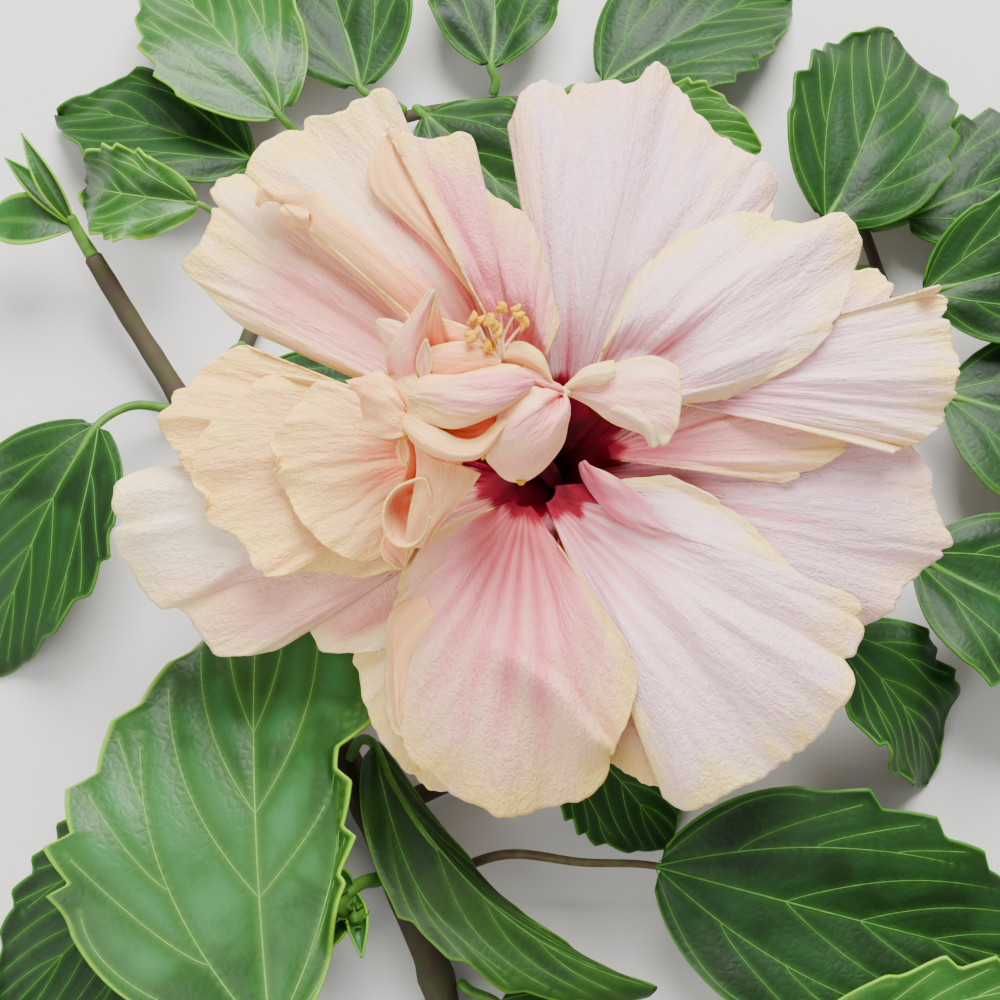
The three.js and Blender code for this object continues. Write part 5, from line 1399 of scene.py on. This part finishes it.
def raised_veins(leaf, lines, grid, x, up, length, finish):
    """Veins that stand out on the upper side, each cut where it leaves the blade."""
    along = grid.shape[1]
    start, end = LEAF_ENDS
    ribs = []
    for line in lines:
        reach = half_width(leaf, line[:, 1] / length, 1 if line[-1, 0] > 0 else -1)
        left_at = np.flatnonzero(np.abs(line[:, 0]) > VEIN_REACH * reach + 0.1)
        line = line[:left_at[0] if len(left_at) else None:2]
        if len(line) < 3:
            continue
        rows = (line[:, 1] / length - start) / (end - start) * (along - 1)
        route = laid_on(grid, x, line[:, 0], rows) + up * (0.5 * LEAF_THICKNESS - VEIN_SINK)
        radii = np.maximum(VEIN_SIZE * line[:, 2], LEAST_VEIN)
        ribs.append(tube_piece("rib", from_plant, route, radii, 6, along // 3, finish))
    return ribs


def leaf_parts(leaf, seed, across, along, finish, teeth=LEAF_TEETH, wave=LEAF_WAVE, rim=LEAF_MARGIN, lip=None,
               stalk_tissue=stalk_finish):
    """Blade, stalk and raised veins of a leaf."""
    rng = np.random.default_rng(seed)
    base, tip = np.array(leaf["base"], float), np.array(leaf["tip"], float)
    length = np.linalg.norm(tip - base)
    forward = (tip - base) / length
    side = unit(np.cross(forward, np.array(leaf["face"], float)))
    up = np.cross(side, forward)
    s, t = np.meshgrid(np.linspace(-1, 1, across), np.linspace(*LEAF_ENDS, along), indexing="ij")
    half = np.where(s > 0, half_width(leaf, t, 1), half_width(leaf, t, -1))
    x = half * s * toothed(s, t, teeth, seed)
    y = length * t
    lines = vein_lines(leaf, length)
    marks = np.concatenate(lines)
    distances = np.linalg.norm(np.stack([x, y], axis=-1)[..., None, :] - marks[:, :2], axis=-1)
    vein = np.exp(-(distances / (0.5 + marks[:, 2] * 0.6)) ** 2).max(axis=-1)
    quilt = 1 - np.exp(-(distances.min(axis=-1) / QUILT_REACH) ** 2)
    inner = smooth(half * (1 - np.abs(s)) / (0.3 * half.max()))

    rise = QUILT_RISE * quilt + leaf["arch"] * np.sin(np.pi * t) + leaf["fold"] * np.abs(x)
    wavy = wave * ripples(rng, t, 0 * s, 3, (1.5, 3.5), (0, 0))
    rise += wavy * np.abs(s) ** 2.5 * np.sign(s) * smooth(t * 4)
    rise += LEAF_SWELL * ripples(rng, s, t, 4, (0.3, 1), (0.6, 1.6))
    if lip:
        low, high, height = lip
        window = smooth((t - low) / 0.1) * smooth((high - t) / 0.1)
        rise += height * smooth((s - LIP_FROM) / (1 - LIP_FROM)) ** 2 * window
    bowed = x * math.cos(leaf["fold"]) + 4 * leaf.get("bow", 0) * t * (1 - t)
    grid = base + y[..., None] * forward + bowed[..., None] * side + rise[..., None] * up
    # The quilt value places the finish's painted sheen between the veins, faded towards the margin
    values = {"vein": vein, "quilt": quilt * (0.15 + 0.85 * inner),
              "edge": 1 - smooth(half * (1 - np.abs(s)) / rim)}
    blade = grid_piece("blade", from_plant(grid), LEAF_THICKNESS, [finish, leaf_under], values)

    midrib = grid[across // 2]
    route = [midrib[int(along * place)] - up * drop for place, drop in STALK_PLACES]
    route += [base - up * STALK_DROP, *leaf["stalk"]]
    stalk = tube_piece("stalk", from_plant, route, STALK_RADII, 10, 60, stalk_tissue)
    vein_tissue = pale_vein_finish if finish is leaf_bright else vein_finish
    return [blade, stalk, *raised_veins(leaf, lines, grid, x, up, length, vein_tissue)]


for number, leaf in enumerate(LEAVES):
    name = leaf["name"]
    points = LARGE_LEAF_POINTS if name in LARGE_LEAVES else LEAF_POINTS
    options = {"finish": leaf_bright if name in BRIGHT_LEAVES else leaf_top, **LEAF_OPTIONS.get(name, {})}
    finish_piece(name + "_skin", leaf_parts(leaf, 500 + number, *points, **options), "leaf", name)

# Stems, with their joints as places along them from 0 to 1
STEMS = [
    dict(name="main_stem", radius=(3.4, 2.9, 2.4, 2.0), joints=(0.16, 0.34, 0.47, 0.63, 0.82),
         finish=bark_finish,
         route=[(-17, -118, 3.4), (-22, -89, 6), (-29, -72, 8), (-42, -42, 6.5), (-60, -2, 4.5), (-76, 28, 5),
                (-88.5, 47.6, 9), (-95, 58, 15)]),
    dict(name="flower_stalk", radius=(1.7, 1.8, 2.2), joints=(0.42,), finish=calyx_finish,
         route=[(-43.5, -30, 7), (-30, -20, 9.5), (-14, -3, 11.5), (-2.5, 8.6, 15.5), (0, 8.6, 20.9)]),
    dict(name="twig_right", radius=(2, 1.8, 1.5, 1.2), joints=(0.15, 0.4, 0.6, 0.75, 0.9), finish=bark_finish,
         route=[(-32.7, -55.3, 5.5), (-8, -44, 3.2), (30, -28, 3), (60, -8, 4), (74, 24, 5), (72, 52, 6),
                (66, 74, 7)]),
    dict(name="twig_top", radius=(1.8, 1.5, 1.1), joints=(0.2, 0.38, 0.6, 0.8), finish=bark_finish,
         route=[(-70.1, 25.4, 5.2), (-62, 50, 3), (-55, 76, 3.4), (-38, 92, 4.5), (-12, 98, 5.5),
                (8, 97, 7)]),
]
STEM_STEPS = 120
JOINT_SWELL = 0.16
JOINT_WIDTH = 0.012
STEM_ROUGHNESS = 0.02
for number, stem in enumerate(STEMS):
    rng = np.random.default_rng(600 + number)
    place = np.linspace(0, 1, STEM_STEPS)
    radii = np.interp(place, np.linspace(0, 1, len(stem["radius"])), stem["radius"])
    for joint in stem["joints"]:
        radii = radii * (1 + JOINT_SWELL * np.exp(-((place - joint) / JOINT_WIDTH) ** 2))
    radii = radii * (1 + STEM_ROUGHNESS * ripples(rng, place, 0 * place, 5, (6, 24), (0, 0)))
    stem_piece = tube_piece("stem", from_plant, stem["route"], radii, 20, STEM_STEPS, stem["finish"])
    finish_piece(stem["name"] + "_skin", [stem_piece], "stem", stem["name"])

# Buds and young shoot
BUD_SPINE = [(-33.9, -69, 10), (-37, -70, 14), (-40, -73, 17)]
BUD_BLADES = [
    dict(base=(-38, -71, 15), tip=(-44, -84, 17), width=6, face=(0, 0, 1), cup=1, arch=1),
    dict(base=(-38, -71, 15), tip=(-36, -84, 19), width=5, face=(0, 0, 1), cup=1, arch=1),
    dict(base=(-38, -71, 15), tip=(-46, -66, 20), width=5, face=(0, 0, 1), cup=0.8, arch=1),
]
BUD_HEADS = [(-41, -74, 18, 3.1), (-37.5, -76, 16.5, 2.5)]  # middle and radius
SHOOT_SPINE = [(-95.2, 58.4, 15.4), (-97.5, 62, 18), (-99, 65, 20.5)]
SHOOT_BLADES = [
    dict(base=(-98, 63, 19), tip=(-114, 79, 19), width=5, face=(0, 0, 1), cup=0.9, arch=2),
    dict(base=(-98, 63, 19), tip=(-108, 80, 29), width=5, face=(0, -0.4, 1), cup=0.9, arch=2),
    dict(base=(-98, 63, 19), tip=(-120, 66, 14), width=12, face=(0, 0, 1), cup=0.4, arch=3),
]
SPINE_RADII = (1.5, 1.1)
YOUNG_POINTS = (20, 36)
YOUNG_THICKNESS = 0.45
# A bud along its axis, in shares of its radius, which leans by the same share
BUD_RADII = (0.3, 0.8, 1.0, 0.85, 0.3)
BUD_HALF_LENGTH = 1.3
BUD_LEAN = 0.3
BUD_SEPALS = 5
SEPAL_THICKNESS = 0.35


def young_leaf(blade):
    """Young leaf, still half closed along its midrib."""
    across, along = YOUNG_POINTS
    grid = blade_grid(blade, across, along, 1.1)
    s, _ = np.meshgrid(np.linspace(-1, 1, across), np.linspace(0, 1, along), indexing="ij")
    # The quilt value places the finish's painted sheen, stronger towards the sides
    values = {"vein": np.exp(-(s / 0.12) ** 2), "quilt": np.abs(s), "edge": smooth((np.abs(s) - 0.8) * 6)}
    return grid_piece("young", from_plant(grid), YOUNG_THICKNESS, [leaf_bright, leaf_under], values)


def bud_parts(middle, radius):
    """Closed bud in its ring of pointed sepals."""
    lean = np.array([0, -BUD_LEAN, BUD_HALF_LENGTH]) * radius
    body = [middle - lean, middle, middle + lean]
    radii = [radius * share for share in BUD_RADII]
    parts = [tube_piece("bud", from_plant, body, radii, 18, 22, calyx_finish)]
    for turn in np.linspace(0, 2 * np.pi, BUD_SEPALS, endpoint=False):
        out = np.array([math.cos(turn), math.sin(turn), 0]) * radius
        sepal = dict(base=middle + np.array([0, 0.2, -1.1]) * radius + 0.35 * out,
                     tip=middle + np.array([0, -0.2, 1.5]) * radius + 0.7 * out,
                     face=out + (0, 0, 0.01), width=radius * 0.8, cup=0.6, arch=0.35 * radius)
        grid = blade_grid(sepal, 8, 14)
        parts.append(grid_piece("sepal", from_plant(grid), SEPAL_THICKNESS, [calyx_finish]))
    return parts


def sprig_parts(spine, blades, heads=()):
    """Green spine with its young leaves and buds."""
    parts = [tube_piece("spine", from_plant, spine, SPINE_RADII, 12, 16, stalk_finish)]
    parts += [young_leaf(blade) for blade in blades]
    for *middle, radius in heads:
        parts += bud_parts(np.array(middle), radius)
    return parts


finish_piece("bud_cluster_skin", sprig_parts(BUD_SPINE, BUD_BLADES, BUD_HEADS), "calyx", "bud_cluster")
finish_piece("shoot_tip_skin", sprig_parts(SHOOT_SPINE, SHOOT_BLADES), "leaf", "shoot_tip")

# Floor, light and camera, in metres
FLOOR_SIZE = 6
LAMPS = (
    # name, place, size of the square lamp, watts
    ("key_softbox", (0.08, 0.5, 0.66), 0.5, 24.0),
    ("fill_softbox", (-0.45, -0.4, 0.6), 0.6, 5.0),
)
LAMP_AIM = Vector((0, 0, 0.05))
SKY_STRENGTH = 0.68
CAMERA_PLACE = (-0.01248, -0.09408, 0.37424)
CAMERA_LENS = 66
CAMERA_SENSOR = 36

bpy.ops.mesh.primitive_plane_add(size=FLOOR_SIZE, location=(0, 0, 0))
floor = bpy.context.object
floor.name = "studio_floor"
# Painted studio floor: matt and pale, so that it only takes soft shadows
floor_finish, _, _ = new_finish("matt_pale_floor", Base_Color=colour("#C9C7C2"), Roughness=0.9)
floor.data.materials.append(floor_finish)

world = bpy.data.worlds.new("soft_studio")
bpy.context.scene.world = world
world.use_nodes = True
sky = world.node_tree.nodes["Background"]
sky.inputs["Color"].default_value = colour("#EEF2F6")
sky.inputs["Strength"].default_value = SKY_STRENGTH

for name, place, size, power in LAMPS:
    bpy.ops.object.light_add(type="AREA", location=place)
    lamp = bpy.context.object
    lamp.name = name
    lamp.data.size = size
    lamp.data.energy = power
    lamp.rotation_euler = (LAMP_AIM - Vector(place)).to_track_quat("-Z", "Y").to_euler()

bpy.ops.object.camera_add(location=CAMERA_PLACE, rotation=(BLOOM_LEAN, 0, 0))
camera = bpy.context.object
camera.data.lens = CAMERA_LENS
camera.data.sensor_width = CAMERA_SENSOR
camera.data.clip_start = 0.01
bpy.context.scene.camera = camera
